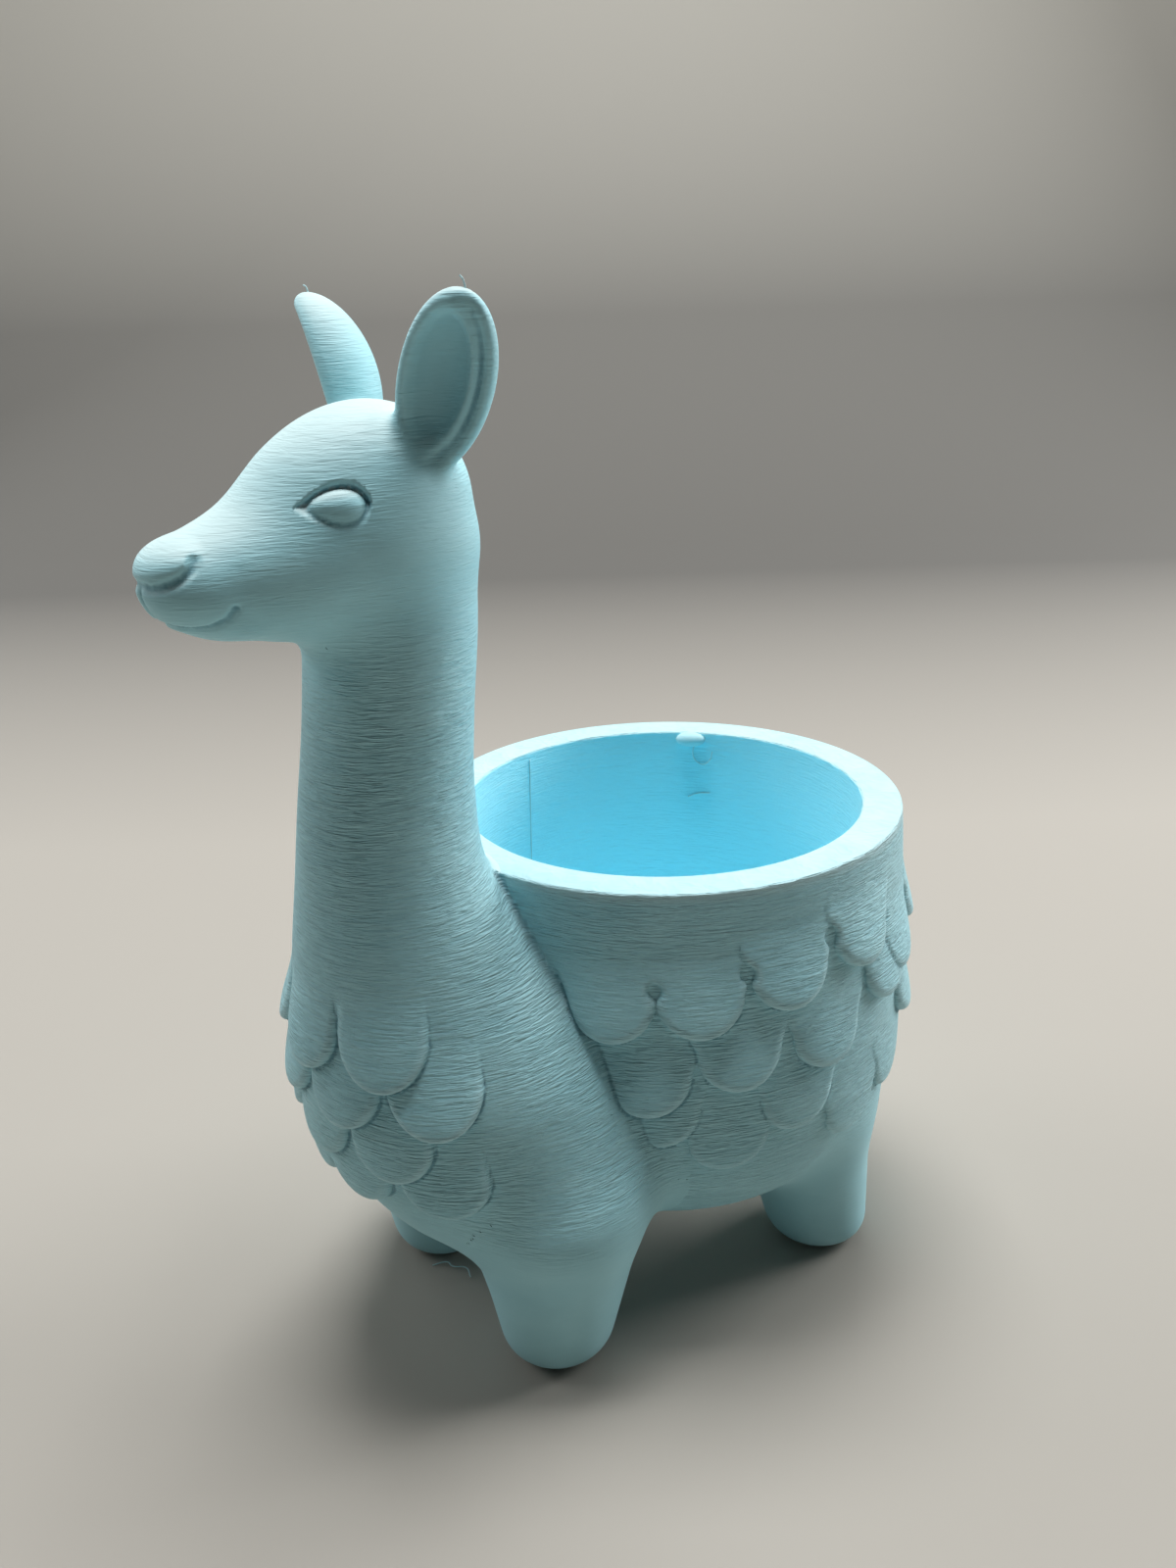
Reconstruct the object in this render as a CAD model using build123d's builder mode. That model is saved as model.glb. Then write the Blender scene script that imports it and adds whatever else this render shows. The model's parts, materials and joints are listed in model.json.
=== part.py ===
from build123d import *
import math
import os

os.makedirs("parts", exist_ok=True)

# An animal shaped planter: a long-necked standing animal whose body is an open pot.
# The animal looks along -Y, up is +Z, and the feet stand on Z = 0.

# Pot sizes in millimetres
rim_diameter = 84.0
rim_wall = 6.9
rim_height = 86.0
rim_edge_round = 0.4
belly_bulge = 1.1
belly_height = 49.0
underside_diameter = 44.0
underside_clearance = 16.7
floor_thickness = 13.3
floor_corner_round = 8.0

# Chest and neck sizes in millimetres
chest_width = 57.6
chest_depth = 54.0
neck_width = 25.6
neck_depth = 25.4
neck_forward = 53.6
chest_underside_clearance = 17.1
neck_top_height = 140.0

# Head sizes in millimetres
head_length = 48.4
head_width = 28.8
head_height = 31.6
eye_length = 8.8
eye_opening = 4.4
eye_rim = 1.5
nose_pad_width = 13.4
nose_pad_height = 6.6
nose_pad_reach = 9.0
nose_pad_proud = 1.4
ear_length = 26.1
ear_width = 12.7
ear_depth = 7.4
ear_edge = 1.6

# Leg sizes in millimetres
front_foot_diameter = 17.6
rear_foot_diameter = 18.2
front_thigh_diameter = 31.0
rear_thigh_diameter = 26.4
front_stance = 36.8
rear_stance = 52.0
front_foot_forward = 41.2
rear_foot_back = 15.6
thigh_height = 34.0
foot_edge_round = 3.4

# Fleece sizes in millimetres
lock_overlap = 0.2
lock_thickness = 1.5
lock_root_thickness = 0.3
chest_lock_width = 15.0
chest_lock_thickness = 5.0
chest_lock_proud = 0.9
chest_lock_round = 2.0

# Angles in degrees
lock_spacing = 21.0
ear_lean = 29.0
ear_turn = 44.0
eye_turn = 26.0
eye_tilt = 17.0
nose_tilt = 24.0
chest_lock_tilt = 12.0

# Sizes worked out from those above
rim_radius = rim_diameter / 2
cavity_radius = rim_radius - rim_wall
belly_radius = rim_radius + belly_bulge
underside_radius = underside_diameter / 2
cavity_floor_height = underside_clearance + floor_thickness
cavity_depth = rim_height - cavity_floor_height
lock_reach = belly_radius + lock_thickness
lock_width = 2 * lock_reach * math.sin(math.radians(lock_spacing) / 2) + lock_overlap

# Shares of the head's length at which the neck enters it and the muzzle begins
neck_entry_share = 0.256
muzzle_start_share = 0.65

# The neck's top stands this share of its reach in front of the pot's axis
neck_top_share = 0.951
head_back_forward = neck_forward * neck_top_share - head_length * neck_entry_share

# The nose pad is the foremost point of the whole: it stands proud of the muzzle's end
muzzle_end_share = 0.98
pad_slope = math.radians(nose_tilt)
nose_forward = head_back_forward + muzzle_end_share * head_length
nose_forward += nose_pad_proud * math.cos(pad_slope)

# The origin is under the middle of the object's length, so the pot's axis stands behind it
pot_axis_y = (nose_forward - lock_reach) / 2
pot_axis = Axis((0, pot_axis_y, 0), (0, 0, 1))


def ahead(forward):
    """The Y of a point that lies this far in front of the pot's axis."""
    return pot_axis_y - forward


def level(height, forward=0.0, side=0.0):
    """A level plane at a height, centred in front of the pot's axis."""
    return Plane(origin=(side, ahead(forward), height))


def between(shares, place):
    """The row of a share table at a place along it, from its two neighbours."""
    for low, high in zip(shares, shares[1:]):
        if low[0] <= place <= high[0]:
            part_way = (place - low[0]) / (high[0] - low[0])
            return [a + part_way * (b - a) for a, b in zip(low, high)]
    return list(shares[-1] if place > shares[-1][0] else shares[0])


def spheroid(where, axis_length, diameter):
    """A closed egg form, round about the plane's x direction."""
    half_length = axis_length / 2
    with BuildPart(mode=Mode.PRIVATE) as egg:
        with BuildSketch(where):
            with BuildLine():
                EllipticalCenterArc((0, 0), half_length, diameter / 2, arc_size=180)
                Line((-half_length, 0), (half_length, 0))
            make_face()
        revolve(axis=Axis(where.origin, where.x_dir))
    return egg.part


# Pot

def wall_radius(height):
    """The pot's outer radius: a quarter ellipse up to the belly, then an arc drawn in to the rim."""
    if height < belly_height:
        drop_share = (belly_height - height) / (belly_height - underside_clearance)
        return underside_radius + (belly_radius - underside_radius) * math.sqrt(1 - drop_share**2)
    rise = rim_height - belly_height
    arc_radius = (belly_bulge**2 + rise**2) / (2 * belly_bulge)
    return belly_radius - arc_radius + math.sqrt(arc_radius**2 - (height - belly_height) ** 2)


pot_section = Plane(origin=(0, pot_axis_y, 0), x_dir=(1, 0, 0), z_dir=(0, -1, 0))

# The pot's outer form, filled, which every neighbour is cut back from
with BuildPart() as pot_form:
    with BuildSketch(pot_section):
        with BuildLine():
            Line((0, underside_clearance), (underside_radius, underside_clearance))
            EllipticalCenterArc(
                (underside_radius, belly_height),
                belly_radius - underside_radius,
                belly_height - underside_clearance,
                start_angle=-90,
                arc_size=90,
            )
            TangentArc((belly_radius, belly_height), (rim_radius, rim_height), tangent=(0, 1))
            Line((rim_radius, rim_height), (0, rim_height))
            Line((0, rim_height), (0, underside_clearance))
        make_face()
    revolve(axis=pot_axis)

# The pot: a thick wall with a flat rim round a plain round cavity
with BuildPart() as pot_shell:
    add(pot_form.part)
    with BuildSketch(level(rim_height)):
        Circle(cavity_radius)
    extrude(amount=-cavity_depth, mode=Mode.SUBTRACT)
    floor_edge = pot_shell.edges().filter_by(GeomType.CIRCLE).filter_by_position(
        Axis.Z, cavity_floor_height - rim_edge_round, cavity_floor_height + rim_edge_round
    )
    fillet(floor_edge, radius=floor_corner_round)
    fillet(pot_shell.faces().sort_by(Axis.Z)[-1].edges(), radius=rim_edge_round)
pot_shell.part.label = "pot_shell"
export_step(pot_shell.part, "parts/pot_shell.step")


# Chest and neck

# Each row: height as a share of the way from the chest's underside to the neck's top, reach as a
# share of neck_forward, and how far the half width and half depth have grown from neck to chest.
front_section_shares = [
    (0.0, 0.784, -0.04, -0.11),
    (0.056, 0.803, 0.40, 0.285),
    (0.121, 0.833, 0.667, 0.57),
    (0.203, 0.837, 0.93, 0.88),
    (0.284, 0.843, 0.985, 1.0),
    (0.382, 0.906, 0.77, 0.80),
    (0.479, 0.979, 0.41, 0.44),
    (0.577, 1.032, 0.137, 0.139),
    (0.675, 1.026, 0.006, 0.06),
    (0.772, 1.0, 0.006, 0.007),
    (0.886, 0.968, 0.0, 0.007),
    (0.98, 0.951, -0.02, -0.014),
    (1.045, 0.938, -0.11, -0.12),
    (1.1, 0.935, -0.27, -0.33),
]


def front_section(place):
    """Height, reach, half width and half depth of the chest and neck at a share of their height."""
    row = between(front_section_shares, place)
    height = chest_underside_clearance + row[0] * (neck_top_height - chest_underside_clearance)
    half_width = (neck_width + row[2] * (chest_width - neck_width)) / 2
    half_depth = (neck_depth + row[3] * (chest_depth - neck_depth)) / 2
    return height, row[1] * neck_forward, half_width, half_depth


with BuildPart() as front_form:
    for row in front_section_shares:
        height, forward, half_width, half_depth = front_section(row[0])
        with BuildSketch(level(height, forward)):
            Ellipse(half_width, half_depth)
    loft()

# The chest and shoulders: the front form up to the rim, face to face with the pot's wall
with BuildPart() as chest:
    add(front_form.part)
    split(bisect_by=Plane.XY.offset(rim_height), keep=Keep.BOTTOM)
    add(pot_form.part, mode=Mode.SUBTRACT)
chest.part.label = "chest"
export_step(chest.part, "parts/chest.step")


# Head

# Each row: length from the back of the skull, underside and top as shares of the head's height,
# and width as a share of the head's width.
head_section_shares = [
    (0.02, 0.42, 0.68, 0.30),
    (0.05, 0.304, 0.785, 0.50),
    (0.112, 0.177, 0.899, 0.722),
    (0.194, 0.089, 0.962, 0.889),
    (0.277, 0.038, 1.0, 0.972),
    (0.36, 0.013, 1.0, 1.0),
    (0.442, 0.0, 0.962, 0.972),
    (0.525, 0.0, 0.911, 0.90),
    (0.607, 0.013, 0.823, 0.833),
    (0.69, 0.038, 0.709, 0.75),
    (0.773, 0.076, 0.608, 0.667),
    (0.855, 0.101, 0.557, 0.611),
    (0.917, 0.139, 0.532, 0.53),
    (0.955, 0.18, 0.494, 0.41),
    (muzzle_end_share, 0.25, 0.44, 0.22),
]
chin_share = 0.43
chin_height = neck_top_height - chin_share * head_height


def head_section(place):
    """Reach, middle height, half width and half height of the head at a share of its length."""
    row = between(head_section_shares, place)
    forward = head_back_forward + row[0] * head_length
    middle = chin_height + head_height * (row[1] + row[2]) / 2
    return forward, middle, head_width * row[3] / 2, head_height * (row[2] - row[1]) / 2


def head_plane(forward, height):
    """An upright plane across the head that looks the way the animal looks."""
    return Plane(origin=(0, ahead(forward), height), x_dir=(1, 0, 0), z_dir=(0, -1, 0))


def head_skin(place, rise_share):
    """The point of the head's left side at a share of its length and of its height."""
    forward, middle, half_width, half_height = head_section(place)
    height = chin_height + rise_share * head_height
    off_middle = (height - middle) / half_height
    return half_width * math.sqrt(1 - off_middle**2), ahead(forward), height


with BuildPart() as head_form:
    for row in head_section_shares:
        forward, middle, half_width, half_height = head_section(row[0])
        with BuildSketch(head_plane(forward, middle)):
            Ellipse(half_width, half_height)
    loft()

# The eyes sit in almond hollows in the sides of the head
eye_place_share = 0.545
eye_rise_share = 0.62
eye_sink_share = 0.27
hollow_sink_share = -0.15


def eye_plane(side, sink):
    """A plane on the head's skin at an eye, its x along the eye and its z out of the head."""
    skin = head_skin(eye_place_share, eye_rise_share)
    turn = math.radians(eye_turn)
    tilt = math.radians(eye_tilt)
    out = Vector(math.cos(turn) * math.cos(tilt), -math.sin(turn) * math.cos(tilt), math.sin(tilt))
    along = Vector(math.sin(turn), math.cos(turn), 0)
    at = Vector(*skin) - out * sink
    return Plane(
        origin=(side * at.X, at.Y, at.Z),
        x_dir=(side * along.X, along.Y, along.Z),
        z_dir=(side * out.X, out.Y, out.Z),
    )


hollow_length = eye_length + eye_rim
hollow_width = eye_opening + eye_rim
eye_hollows = [
    spheroid(eye_plane(side, hollow_width * hollow_sink_share), hollow_length, hollow_width)
    for side in (1, -1)
]

muzzle_cut = Plane(
    origin=(0, ahead(head_back_forward + muzzle_start_share * head_length), 0), z_dir=(0, -1, 0)
)

# The head: skull, brow and jaw, behind the muzzle
with BuildPart() as head:
    add(head_form.part)
    split(bisect_by=muzzle_cut, keep=Keep.BOTTOM)
    for hollow in eye_hollows:
        add(hollow, mode=Mode.SUBTRACT)
head.part.label = "head"
export_step(head.part, "parts/head.step")

# The muzzle: the drawn-in front of the same form
with BuildPart() as muzzle:
    add(head_form.part)
    split(bisect_by=muzzle_cut, keep=Keep.TOP)
    for hollow in eye_hollows:
        add(hollow, mode=Mode.SUBTRACT)
muzzle.part.label = "muzzle"
export_step(muzzle.part, "parts/muzzle.step")

# The eyes: smooth balls that nearly fill their hollows
for side, node in ((1, "left_eye"), (-1, "right_eye")):
    with BuildPart() as eye:
        add(spheroid(eye_plane(side, eye_opening * eye_sink_share), eye_length, eye_opening))
        add(head.part, mode=Mode.SUBTRACT)
        add(muzzle.part, mode=Mode.SUBTRACT)
    eye.part.label = node
    export_step(eye.part, f"parts/{node}.step")

# The nose pad: the muzzle's own end again, moved out of itself, inside an oval outline
nose_pad_rise_share = 0.427
pad_out = Vector(0, -math.cos(pad_slope), math.sin(pad_slope))
pad_front = Vector(0, ahead(nose_forward), chin_height + nose_pad_rise_share * head_height)
pad_plane = Plane(origin=pad_front - pad_out * nose_pad_reach, x_dir=(1, 0, 0), z_dir=pad_out)
with BuildPart() as nose_pad:
    with BuildSketch(pad_plane):
        Ellipse(nose_pad_width / 2, nose_pad_height / 2)
    extrude(amount=2 * nose_pad_reach)
    add(head_form.part.moved(Location(pad_out * nose_pad_proud)), mode=Mode.INTERSECT)
    add(head.part, mode=Mode.SUBTRACT)
    add(muzzle.part, mode=Mode.SUBTRACT)
nose_pad.part.label = "nose_pad"
export_step(nose_pad.part, "parts/nose_pad.step")

# The neck: the front form above the rim, up into the underside of the head
with BuildPart() as neck:
    add(front_form.part)
    split(bisect_by=Plane.XY.offset(rim_height), keep=Keep.TOP)
    add(head_form.part, mode=Mode.SUBTRACT)
neck.part.label = "neck"
export_step(neck.part, "parts/neck.step")

# Ears: leaning leaves, flat and hollowed on the side that faces forward
ear_root_width_share = 0.61
ear_root_place_share = 0.215
ear_root_rise_share = 0.721
ear_face_share = 0.18
ear_station_shares = [0.06, 0.15, 0.3, 0.45, 0.6, 0.72, 0.82, 0.9, 0.96, 0.99]
scoop_middle_share = 0.52


def ear_plane(along, back=0.0):
    """A plane across the left ear, this far from its root and this far behind its middle."""
    lean = math.radians(ear_lean)
    turn = math.radians(ear_turn)
    up = Vector(math.sin(lean), 0, math.cos(lean))
    wide = Vector(math.cos(lean) * math.cos(turn), math.sin(turn), -math.sin(lean) * math.cos(turn))
    rear = up.cross(wide)
    root = Vector(
        ear_root_width_share * head_width / 2,
        ahead(head_back_forward + ear_root_place_share * head_length),
        chin_height + ear_root_rise_share * head_height,
    )
    return Plane(origin=root + up * along + rear * back, x_dir=wide, z_dir=up)


with BuildPart() as left_ear:
    for share in ear_station_shares:
        swell = math.sqrt(1 - (2 * share - 1) ** 2)
        with BuildSketch(ear_plane(share * ear_length)):
            Ellipse(swell * ear_width / 2, swell * ear_depth * (1 - ear_face_share))
    loft()
    middle = ear_plane(scoop_middle_share * ear_length, -ear_depth * ear_face_share)
    face = Plane(origin=middle.origin, x_dir=middle.z_dir, z_dir=middle.y_dir)
    split(bisect_by=face, keep=Keep.TOP)
    add(spheroid(face, ear_length - 2 * ear_edge, ear_width - 2 * ear_edge), mode=Mode.SUBTRACT)
    add(head_form.part, mode=Mode.SUBTRACT)
left_ear.part.label = "left_ear"
export_step(left_ear.part, "parts/left_ear.step")

with BuildPart() as right_ear:
    mirror(left_ear.part, about=Plane.YZ)
right_ear.part.label = "right_ear"
export_step(right_ear.part, "parts/right_ear.step")


# Legs

# Each row: height as a share of thigh_height, how far the half width has grown from foot to
# thigh, and the share of the foot's distance from the middle at which the leg's centre stands.
leg_section_shares = [
    (0.0, 0.0, 1.0),
    (0.35, 0.35, 1.0),
    (0.7, 0.8, 0.98),
    (1.0, 1.0, 0.93),
    (1.3, 0.3, 0.78),
]


def leg_form(stance, forward, foot_diameter, thigh_diameter):
    """A tapered round leg with a rounded foot, its thigh drawn in towards the body's middle."""
    with BuildPart(mode=Mode.PRIVATE) as leg:
        for height_share, growth_share, stance_share in leg_section_shares:
            diameter = foot_diameter + growth_share * (thigh_diameter - foot_diameter)
            centre = stance_share * stance / 2
            with BuildSketch(level(height_share * thigh_height, stance_share * forward, centre)):
                Circle(diameter / 2)
        loft()
        fillet(leg.faces().sort_by(Axis.Z)[0].edges(), radius=foot_edge_round)
    return leg.part


front_leg = leg_form(front_stance, front_foot_forward, front_foot_diameter, front_thigh_diameter)
rear_leg = leg_form(rear_stance, -rear_foot_back, rear_foot_diameter, rear_thigh_diameter)

with BuildPart() as left_front_leg:
    add(front_leg)
    add(pot_form.part, mode=Mode.SUBTRACT)
    add(chest.part, mode=Mode.SUBTRACT)
left_front_leg.part.label = "left_front_leg"
export_step(left_front_leg.part, "parts/left_front_leg.step")

with BuildPart() as right_front_leg:
    mirror(left_front_leg.part, about=Plane.YZ)
right_front_leg.part.label = "right_front_leg"
export_step(right_front_leg.part, "parts/right_front_leg.step")

with BuildPart() as left_rear_leg:
    add(rear_leg)
    add(pot_form.part, mode=Mode.SUBTRACT)
left_rear_leg.part.label = "left_rear_leg"
export_step(left_rear_leg.part, "parts/left_rear_leg.step")

with BuildPart() as right_rear_leg:
    mirror(left_rear_leg.part, about=Plane.YZ)
right_rear_leg.part.label = "right_rear_leg"
export_step(right_rear_leg.part, "parts/right_rear_leg.step")


# Fleece on the pot

# Each row of locks: its top as a share of the rim's height and then, for each lock of the left
# side, its angle from the front in degrees and the height of its tip as a share of the rim's.
upper_row_top_share = 0.93
upper_row_shares = [
    (38, 0.709), (57, 0.72), (77, 0.752), (98, 0.783), (117, 0.703), (138, 0.728), (159, 0.744),
    (180, 0.72),
]
middle_row_top_share = 0.84
middle_row_shares = [
    (45, 0.557), (66, 0.602), (87, 0.605), (108, 0.674), (127, 0.56), (148, 0.585), (169, 0.56),
]
lower_row_top_share = 0.70
lower_row_shares = [
    (47, 0.481), (63, 0.414), (79, 0.48), (97, 0.401), (115, 0.436), (133, 0.407), (151, 0.436),
    (169, 0.407),
]
band_station_shares = [0.0, 0.25, 0.5, 0.75, 1.0]


def lock_band(top_share, row_shares):
    """A skirt round the pot, thin at its top and thickest at the lowest lock's tip."""
    top = top_share * rim_height
    tip = min(height_share for angle, height_share in row_shares) * rim_height
    inner_radius = rim_radius - rim_wall / 2
    outer = []
    for share in band_station_shares:
        height = top + share * (tip - top)
        thickness = lock_root_thickness + share * (lock_thickness - lock_root_thickness)
        outer.append((wall_radius(height) + thickness, height))
    with BuildPart(mode=Mode.PRIVATE) as band:
        with BuildSketch(pot_section):
            with BuildLine():
                Spline(*outer)
                Polyline(outer[-1], (inner_radius, tip), (inner_radius, top), outer[0])
            make_face()
        revolve(axis=pot_axis)
    return band.part


def lock_cutter(angle, tip_height, top_height):
    """A tongue that runs out of the pot at an angle from the front, with a round lower end."""
    turn = math.radians(angle)
    out = (math.sin(turn), -math.cos(turn), 0)
    round_radius = lock_width / 2
    inside = rim_radius - rim_wall
    start = (out[0] * inside, pot_axis_y + out[1] * inside, tip_height + round_radius)
    across = Plane(origin=start, x_dir=(-out[1], out[0], 0), z_dir=out)
    straight = top_height - tip_height
    with BuildPart(mode=Mode.PRIVATE) as tongue:
        with BuildSketch(across):
            Circle(round_radius)
            with Locations((0, straight / 2)):
                Rectangle(lock_width, straight)
        extrude(amount=rim_wall + belly_bulge + lock_width)
    return tongue.part


def lock_row(top_share, row_shares, carriers):
    """The locks of one row round both sides, cut back from what they lie on or under."""
    top = top_share * rim_height
    with BuildPart(mode=Mode.PRIVATE) as tongues:
        for angle, height_share in row_shares:
            for side in (1, -1) if angle < 180 else (1,):
                add(lock_cutter(side * angle, height_share * rim_height, top))
    with BuildPart(mode=Mode.PRIVATE) as row:
        add(lock_band(top_share, row_shares))
        add(tongues.part, mode=Mode.INTERSECT)
        for carrier in carriers:
            add(carrier.part, mode=Mode.SUBTRACT)
    return row


legs = [left_front_leg, right_front_leg, left_rear_leg, right_rear_leg]
carriers = [pot_form, chest] + legs
fleece_rows = (
    ("upper_locks", upper_row_top_share, upper_row_shares),
    ("middle_locks", middle_row_top_share, middle_row_shares),
    ("lower_locks", lower_row_top_share, lower_row_shares),
)
for node, top_share, row_shares in fleece_rows:
    locks = lock_row(top_share, row_shares, carriers)
    locks.part.label = node
    export_step(locks.part, f"parts/{node}.step")
    carriers.append(locks)


# Fleece on the chest

# Each lock of the left side: its place up the front form, and how far round it sits, from 0 at
# the middle of the breast to 1 at the side. A lock at 0 stands alone, the others have a twin.
chest_lock_shares = [
    (0.398, 0.0), (0.414, 0.44), (0.355, 0.53), (0.333, 0.186), (0.272, 0.0), (0.272, 0.346),
    (0.224, 0.46), (0.211, 0.157),
]


def chest_lock(place, round_share, side):
    """A plump round lock on the breast, its lower edge tilted out of the skin."""
    height, forward, half_width, half_depth = front_section(place)
    turn = round_share * math.pi / 2
    tilt = math.radians(chest_lock_tilt)
    flat = Vector(math.sin(turn) / half_width, -math.cos(turn) / half_depth, 0).normalized()
    out = Vector(side * flat.X * math.cos(tilt), flat.Y * math.cos(tilt), math.sin(tilt))
    skin = Vector(
        side * half_width * math.sin(turn),
        ahead(forward + half_depth * math.cos(turn)),
        height,
    )
    root = skin - out * (chest_lock_thickness - chest_lock_proud)
    with BuildPart(mode=Mode.PRIVATE) as lock:
        with BuildSketch(Plane(origin=root, x_dir=(-out.Y, out.X, 0), z_dir=out)):
            Circle(chest_lock_width / 2)
        extrude(amount=chest_lock_thickness)
        fillet(lock.faces().sort_by(Axis(root, out))[-1].edges(), radius=chest_lock_round)
    return lock.part


with BuildPart() as chest_locks:
    for place, round_share in chest_lock_shares:
        for side in (1, -1) if round_share else (1,):
            add(chest_lock(place, round_share, side))
    add(front_form.part, mode=Mode.SUBTRACT)
    for carrier in carriers:
        if carrier is not chest:
            add(carrier.part, mode=Mode.SUBTRACT)
chest_locks.part.label = "chest_locks"
export_step(chest_locks.part, "parts/chest_locks.step")
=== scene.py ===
import bpy
import json
import numpy as np
from mathutils import Matrix, Vector


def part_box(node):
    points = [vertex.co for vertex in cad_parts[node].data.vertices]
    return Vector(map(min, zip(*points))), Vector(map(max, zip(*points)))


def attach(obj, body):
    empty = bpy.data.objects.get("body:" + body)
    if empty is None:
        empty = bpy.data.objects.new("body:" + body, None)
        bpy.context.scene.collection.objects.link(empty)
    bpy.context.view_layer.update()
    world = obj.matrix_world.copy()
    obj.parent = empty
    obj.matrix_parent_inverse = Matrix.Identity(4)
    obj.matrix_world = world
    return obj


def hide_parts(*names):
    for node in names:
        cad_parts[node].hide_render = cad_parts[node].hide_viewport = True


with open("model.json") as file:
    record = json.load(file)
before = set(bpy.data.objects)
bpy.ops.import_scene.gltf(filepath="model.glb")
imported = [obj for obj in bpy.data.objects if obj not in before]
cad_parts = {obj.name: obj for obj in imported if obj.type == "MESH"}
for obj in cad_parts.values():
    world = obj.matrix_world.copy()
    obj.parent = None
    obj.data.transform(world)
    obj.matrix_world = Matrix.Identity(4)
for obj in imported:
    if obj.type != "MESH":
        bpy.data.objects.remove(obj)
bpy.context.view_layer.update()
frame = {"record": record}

# Pot.
# The animal's body is a thick round pot, printed in one go with the rest in matt pale blue plastic.
# Its flat rim has crisp edges, and its plain cavity takes a plant pot on a round-cornered floor.

pot_mount = next(mount for mount in frame["record"]["mounts"] if mount["name"] == "pot_cavity")
MM = 0.001
POT_AXIS_Y = pot_mount["pos_m"][1] / MM
CAVITY_RADIUS = pot_mount["dims"]["r_mm"]
RIM_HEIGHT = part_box("pot_shell")[1].z / MM
UNDERSIDE_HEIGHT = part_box("pot_shell")[0].z / MM
RIM_RADIUS = 42.0
BELLY_RADIUS = 43.1
BELLY_HEIGHT = 49.0
UNDERSIDE_RADIUS = 22.0
CAVITY_FLOOR_HEIGHT = 30.0
FLOOR_CORNER_ROUND = 8.0
RIM_EDGE_ROUND = 0.45
BOWL_STEPS = 40
FLANK_STEPS = 24
EDGE_STEPS = 10
FLOOR_CORNER_STEPS = 24
TURN_STEPS = 360
CREASE_ANGLE = 50.0


def belly_arc(height):
    """The radius above the belly: a circle through the belly and the rim, upright at the belly."""
    bulge = BELLY_RADIUS - RIM_RADIUS
    rise = RIM_HEIGHT - BELLY_HEIGHT
    arc = (bulge**2 + rise**2) / (2 * bulge)
    return BELLY_RADIUS - arc + np.sqrt(arc**2 - np.minimum(height - BELLY_HEIGHT, rise) ** 2)


def corner(centre, radius, start, end, count=EDGE_STEPS):
    """Points of a round corner: centre plus radius times (cosine, sine) of evenly spaced angles."""
    turn = np.radians(np.linspace(start, end, count))
    return np.stack([centre[0] + radius * np.cos(turn), centre[1] + radius * np.sin(turn)], 1)


def pot_profile():
    """Radius and height round the pot's wall, from under its middle, up outside and down inside."""
    quarter = np.linspace(-np.pi / 2, 0, BOWL_STEPS)
    bowl = np.stack([
        UNDERSIDE_RADIUS + (BELLY_RADIUS - UNDERSIDE_RADIUS) * np.cos(quarter),
        BELLY_HEIGHT + (BELLY_HEIGHT - UNDERSIDE_HEIGHT) * np.sin(quarter),
    ], 1)
    edge_level = RIM_HEIGHT - RIM_EDGE_ROUND
    height = np.linspace(BELLY_HEIGHT, edge_level, FLANK_STEPS)[1:-1]
    flank = np.stack([belly_arc(height), height], 1)
    return np.concatenate([
        [(0, UNDERSIDE_HEIGHT), (UNDERSIDE_RADIUS / 2, UNDERSIDE_HEIGHT)],
        bowl,
        flank,
        corner((RIM_RADIUS - RIM_EDGE_ROUND, edge_level), RIM_EDGE_ROUND, 0, 90),
        corner((CAVITY_RADIUS + RIM_EDGE_ROUND, edge_level), RIM_EDGE_ROUND, 90, 180),
        corner(
            (CAVITY_RADIUS - FLOOR_CORNER_ROUND, CAVITY_FLOOR_HEIGHT + FLOOR_CORNER_ROUND),
            FLOOR_CORNER_ROUND, 0, -90, FLOOR_CORNER_STEPS,
        ),
        [(CAVITY_RADIUS / 3, CAVITY_FLOOR_HEIGHT), (0, CAVITY_FLOOR_HEIGHT)],
    ])


def turned(profile, steps=TURN_STEPS):
    """A profile turned round the upright axis: x = r cos a, y = r sin a, z = height, poles closed."""
    angle = np.linspace(0, 2 * np.pi, steps, endpoint=False)
    ring = profile[1:-1]
    x = ring[:, :1] * np.cos(angle)
    y = ring[:, :1] * np.sin(angle)
    z = np.repeat(ring[:, 1:], steps, 1)
    points = np.stack([x, y, z], -1).reshape(-1, 3)
    points = np.concatenate([points, [(0, 0, profile[0, 1]), (0, 0, profile[-1, 1])]])
    row = np.arange(len(ring) - 1)[:, None] * steps
    here = np.arange(steps)
    after = (here + 1) % steps
    quads = np.stack([row + here, row + after, row + steps + after, row + steps + here], -1)
    low, high = len(points) - 2, len(points) - 1
    last = (len(ring) - 1) * steps
    start_cap = np.stack([np.full(steps, low), after, here], -1)
    end_cap = np.stack([last + here, last + after, np.full(steps, high)], -1)
    return points, quads.reshape(-1, 4), np.concatenate([start_cap, end_cap])


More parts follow.
